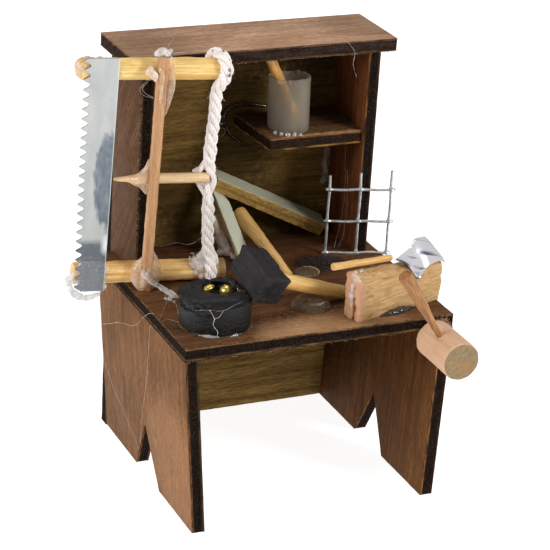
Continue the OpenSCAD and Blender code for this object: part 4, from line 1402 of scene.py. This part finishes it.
# painted glint: a thin ridge of pale glue along the pad's front edge
painted_glint_ridge = [pad_lo.lerp(pad_hi, 0.5) / MM + Vector((x, y, 0.3))
         for x, y in ((-1.2, -2.6), (0.4, -3.0), (1.8, -2.5), (2.6, -1.7))]
drops("glue_pad_ridge", [(p * MM, r) for p, r in trail(painted_glint_ridge, (0.15, 0.35, 0.25, 0.1), 0.3)],
      frosty_glue_and_glints, lumps=0.2)
middle = lens_lo.lerp(lens_hi, 0.5) / MM
reach_x, reach_y = (lens_hi.x - lens_lo.x) / MM * 0.47, (lens_hi.y - lens_lo.y) / MM * 0.47
# painted highlight: a lip of pale glue round the lens's rim
painted_highlight_lip = [(middle.x + reach_x * math.cos(a), middle.y + reach_y * math.sin(a), lens_lo.z / MM + 0.35)
       for a in np.arange(-0.9, 1.6, 0.2)]
drops("glue_lens_lip", [(p * MM, r) for p, r in trail(painted_highlight_lip, (0.1, 0.25, 0.25, 0.1), 0.3)],
    smooth_glue, lumps=0.1)
# the clear ring of glue round the pot's foot; its white front part is painted glints
for name, start, stop, sizes, finish in (("clear", 2.7, 6.4, (0.12, 0.3), clear_glue),
                                         ("white", 3.75, 4.95, (0.05, 0.42), frosty_glue_and_glints)):
    ring = [(POT_X + 7.8 * math.cos(a), POT_Y + 7.8 * math.sin(a), TOP + 0.15)
            for a in np.arange(start, stop, 0.12)]
    swell = [sizes[0] + (sizes[1] - sizes[0]) * math.sin(2.7 * k) ** 2 for k in range(len(ring))]
    drops("glue_pot_foot_" + name, placed(BENCH, trail(ring, swell, 0.3)), finish, lumps=0.25, flat=TOP)
drops("glue_pot_rim", placed(BENCH, [((16.2, 10.4, TOP + 6.7), 0.7), ((17.2, 9.9, TOP + 6.6), 0.55),
      ((18.0, 11.0, TOP + 6.5), 0.6), ((16.8, 12.4, TOP + 6.6), 0.5)]), clear_glue, lumps=0.2)

# %% Glue in the hutch, by the log and the jar
bead = [(41.5, 54.4, 76.3), (39.0, 54.4, 76.7), (35.9, 54.4, 77.3), (33.0, 54.4, 77.4), (30.6, 54.4, 76.7),
    (29.5, 54.4, 75.1), (29.9, 54.4, 73.0), (31.1, 54.4, 70.7), (33.4, 54.2, 68.7), (36.1, 54.0, 67.0)]
drops("glue_shelf_end", placed(BENCH, trail(bead, (0.3, 0.4, 0.5, 0.6, 0.6, 0.6, 0.5, 0.45, 0.4, 0.3))),
    dark_glue, lumps=0.1)
corner = [((55.6 + 0.3 * math.sin(z * 1.3), 53.2, z), 0.5 + 0.3 * abs(math.sin(z * 0.9)))
          for z in np.arange(57.0, 66.5, 0.7)]
drops("glue_corner", placed(BENCH, corner), brown_glue, lumps=0.3)
# glue at the jar's foot, drawn pale as painted glints
drops("glue_jar", placed(BENCH, [((36.6, 41.4, 74.8), 0.45), ((37.8, 40.4, 74.7), 0.5),
      ((39.0, 39.7, 74.7), 0.6), ((40.6, 39.4, 74.7), 0.5), ((42.0, 39.2, 74.6), 0.35)]),
      frosty_glue_and_glints, lumps=0.3)
on_log = []
for x, y, radius in ((0.5, 0.9, 0.5), (0.4, 1.9, 0.65), (0.6, 3.0, 0.6), (1.4, 3.6, 0.5), (3.0, 3.8, 0.5),
                     (3.9, 4.0, 0.35)):
    struck, spot, _, _ = log.ray_cast(on(LOG, x, y, 20), Vector((0, 0, -1)))
    on_log.append((spot if struck else on(LOG, x, y, 9), radius))
drops("glue_log_top", on_log, frosty_glue_and_glints, lumps=0.6)
drops("glue_log_end", placed(LOG, trail([(0.0, 2.3, 8.0), (-0.1, 2.4, 6.4), (0.0, 2.6, 4.6),
    (0.0, 2.4, 3.0)], (0.5, 0.6, 0.5, 0.3))), pink_glue, lumps=0.6)
drops("glue_log_foot", placed(LOG, trail([(6.5, -0.2, 0.1), (9.0, -0.5, 0.3), (12.0, -0.6, 0.3),
    (15.5, -0.2, 0.1)], (0.3, 0.7, 0.8, 0.4))), char_glue, lumps=0.3)

# %% [markdown]
# ## Glue hairs
#
# The last of the glue leaves the gun as hairs, finer than a human one, which settle over everything.
# They are drawn a little thicker than life, 0.05 mm, because thinner ones would be lost to sight.

# %% Hairs
HAIR = 0.026
# each hair: whose frame it is in, how thick, where it runs
hairs = [
    (BENCH, 1.0, [(-3.0, 12.2, 45.0), (-1.6, 16.6, 42.4), (-0.2, 20.6, 33.0), (0.9, 24.0, 25.0),
        (1.6, 27.3, 17.0), (2.4, 30.0, 7.5)]),
    (BENCH, 1.0, [(-0.8, 49.0, 34.0), (-0.6, 48.4, 24.0), (0.4, 45.2, 17.0), (1.6, 39.4, 11.5),
        (2.5, 31.0, 5.5)]),
    (BENCH, 1.0, [(-0.7, 54.4, 26.4), (-0.3, 46.0, 30.5), (-0.6, 36.5, 34.9), (-0.7, 28.0, 38.0),
        (-0.5, 21.6, 43.4), (-0.2, 18.0, 44.9)]),
    (BENCH, 1.0, [(-0.4, 14.6, 45.0), (3.7, 21.1, 45.3), (5.2, 23.8, 45.4), (6.0, 21.0, 45.2),
        (5.0, 17.0, 45.0), (4.6, 13.0, 45.0)]),
    (BENCH, 1.0, [(-0.2, 14.0, 45.0), (1.4, 14.6, 45.1), (2.8, 13.1, 45.0), (3.6, 12.6, 45.0)]),
    (SAW, 1.0, [(1.6, -3.4, 5.2), (3.0, -1.4, 6.0), (4.8, 2.0, 6.2)]),
    (SAW, 1.0, [(2.6, -3.2, 4.4), (7.0, -2.0, 4.4), (11.5, -1.6, 4.6), (14.4, -1.4, 4.2)]),
    (SAW, 1.0, [(-1.6, -4.0, -1.2), (-2.6, -2.4, -3.4), (-1.6, -1.6, -5.0), (0.0, -2.4, -5.6)]),
    (SAW, 1.0, [(-2.0, -4.2, -0.8), (-3.0, -2.0, -3.8), (-2.0, -1.4, -5.4), (-0.1, -2.4, -5.8)]),
    (BENCH, 0.7, [(2.9, 2.9, 52.0), (5.9, 2.9, 51.6), (9.3, 2.9, 51.1), (12.0, 3.2, 51.9),
        (14.4, 4.0, 52.2)]),
    (BENCH, 1.7, [(6.1, 2.9, 51.6), (7.4, 2.9, 49.4), (7.2, 2.9, 48.1), (8.3, 3.0, 46.4), (8.2, 2.9, 45.1)]),
    (BENCH, 1.3, [(9.4, 2.9, 51.0), (8.6, 2.9, 49.8), (7.4, 2.9, 49.4)]),
    (BENCH, 1.0, [(56.9, 44.0, 63.0), (56.6, 42.5, 56.0), (55.6, 41.0, 49.0), (54.4, 40.6, 45.2)]),
    (BENCH, 1.0, [(57.0, 46.0, 68.0), (56.0, 43.0, 55.0), (53.4, 41.0, 45.2)]),
    (BENCH, 1.0, [(28.0, 54.1, 71.0), (28.8, 54.0, 72.4), (30.0, 54.0, 71.6), (29.4, 54.0, 70.2),
        (28.2, 54.1, 70.6)]),
    (BENCH, 1.0, [(12.0, 47.0, 47.5), (16.0, 47.4, 48.0), (20.0, 47.6, 47.2), (23.0, 48.0, 48.4)]),
    (BENCH, 1.0, [(51.0, 37.4, 96.4), (53.0, 37.2, 93.8), (52.6, 36.6, 91.0), (53.8, 36.8, 88.0)]),
]
lines = []
for tool, thick, points in hairs:
    path = smooth_path(points, 0.5)
    lines.append([(on(tool, *p) + Vector(noise.noise_vector(Vector(p) * 0.5)) * 0.15 * MM,
                   thick * HAIR * (1 + 0.8 * noise.noise(Vector(p) * 0.8))) for p in path])
for i in range(36):
    start = Vector((random.uniform(3, 60), random.uniform(6, 40), TOP + 0.1))
    ahead = random.uniform(0, 6.28)
    bend = random.uniform(-0.8, 0.8)
    line = []
    for k in range(6):
        ahead += bend
        start = start + Vector((math.cos(ahead), math.sin(ahead), 0)) * 0.35
        line.append((on(BENCH, *start), HAIR * 0.6))
    lines.append(line)
hair_glue, tree = new_material("glue_hair")
shine = flecks(tree, (1, 0, 0), (4, 4, 4), 0.3, 0.7)
surface(tree, Base_Color=add(tree, "Mix", shine, "#dcd2ca", "#9c9088"), Roughness=0.35)
settle(tubes("glue_hairs", lines), hair_glue, "glue", smooth=80)

# %% [markdown]
# ## Sawdust and splinters
#
# A heap of charred sawdust lies behind the log, and single grains lie all over the bench. Each grain
# is a ball of twenty faces, pressed flat. The boards' edges keep splinters of veneer that the sander
# missed, which are short tapered tubes set along those edges.

# %% Sawdust
def grains(name, finish, slot, places):
    """Many small grains as one piece: places is a list of (place in metres, radius in mm)."""
    pile = bmesh.new()
    for place, radius in places:
        sizes = (random.uniform(0.7, 1.3), random.uniform(0.7, 1.3), random.uniform(0.4, 0.8))
        flat = Matrix.Diagonal((*sizes, 1))
        turn = Matrix.Rotation(random.uniform(0, 6.28), 4, "Z")
        bmesh.ops.create_icosphere(pile, subdivisions=1, radius=radius * MM,
                                   matrix=Matrix.Translation(place) @ turn @ flat)
    obj = bpy.data.objects.new(name, bpy.data.meshes.new(name))
    pile.to_mesh(obj.data)
    pile.free()
    bpy.context.collection.objects.link(obj)
    return settle(obj, finish, slot, smooth=20)


heap = []
for i in range(900):
    turn, far = random.uniform(0, 6.28), math.sqrt(random.random())
    high = random.uniform(0.0, 0.7) * (1 - far)
    heap.append((at(47.0 + 6.4 * far * math.cos(turn), 34.0 + 4.8 * far * math.sin(turn), TOP + 0.05 + high),
                 random.uniform(0.1, 0.3)))
grains("charred_dust", black_paint("charred_dust", "#0d0808", "#4a332e", 0.4, 0.5), "charcoal", heap)
loose = [(at(random.uniform(1, 62), random.uniform(1, 53), TOP + 0.03), random.uniform(0.05, 0.13))
         for i in range(260)]
loose += [(at(random.gauss(30, 4), random.gauss(12, 3), TOP + 0.03), random.uniform(0.06, 0.16))
          for i in range(60)]
pale_dust = stick_wood("pale_sawdust", (1, 0, 0), "#b08a62", "#8a6544", "#4c3322", 0.8)
grains("loose_dust", pale_dust, "stained_wood", loose)

# %% Splinters
hutch_lo, hutch_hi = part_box("left_hutch_panel")
roof_front = Vector((roof_lo.x, roof_lo.y, roof_hi.z))
edges = [(roof_lo.xyz, Vector((roof_hi.x, roof_lo.y, roof_lo.z)), 70),
         (roof_front, Vector((roof_hi.x, roof_lo.y, roof_hi.z)), 60),
         (roof_front, Vector((roof_lo.x, roof_hi.y, roof_hi.z)), 30),
         (at(0, 0, TOP), at(WIDTH, 0, TOP), 60), (at(0, 0, TOP - PLY), at(WIDTH, 0, TOP - PLY), 60),
         (hutch_lo.xyz, Vector((hutch_lo.x, hutch_lo.y, hutch_hi.z)), 50)]
splinters = []
for a, b, count in edges:
    for i in range(count):
        start = a.lerp(b, random.random())
        drift = Vector((random.gauss(0, 0.3), random.gauss(-0.12, 0.1), random.gauss(0, 0.16))) * MM
        splinters.append([(start, random.uniform(0.04, 0.09)), (start + drift, 0.02)])
veneer = stick_wood("veneer_splinters", (1, 0, 0), "#a07a58", "#7c5a3c", "#3a2818")
settle(tubes("splinters", splinters), veneer, "walnut_ply")
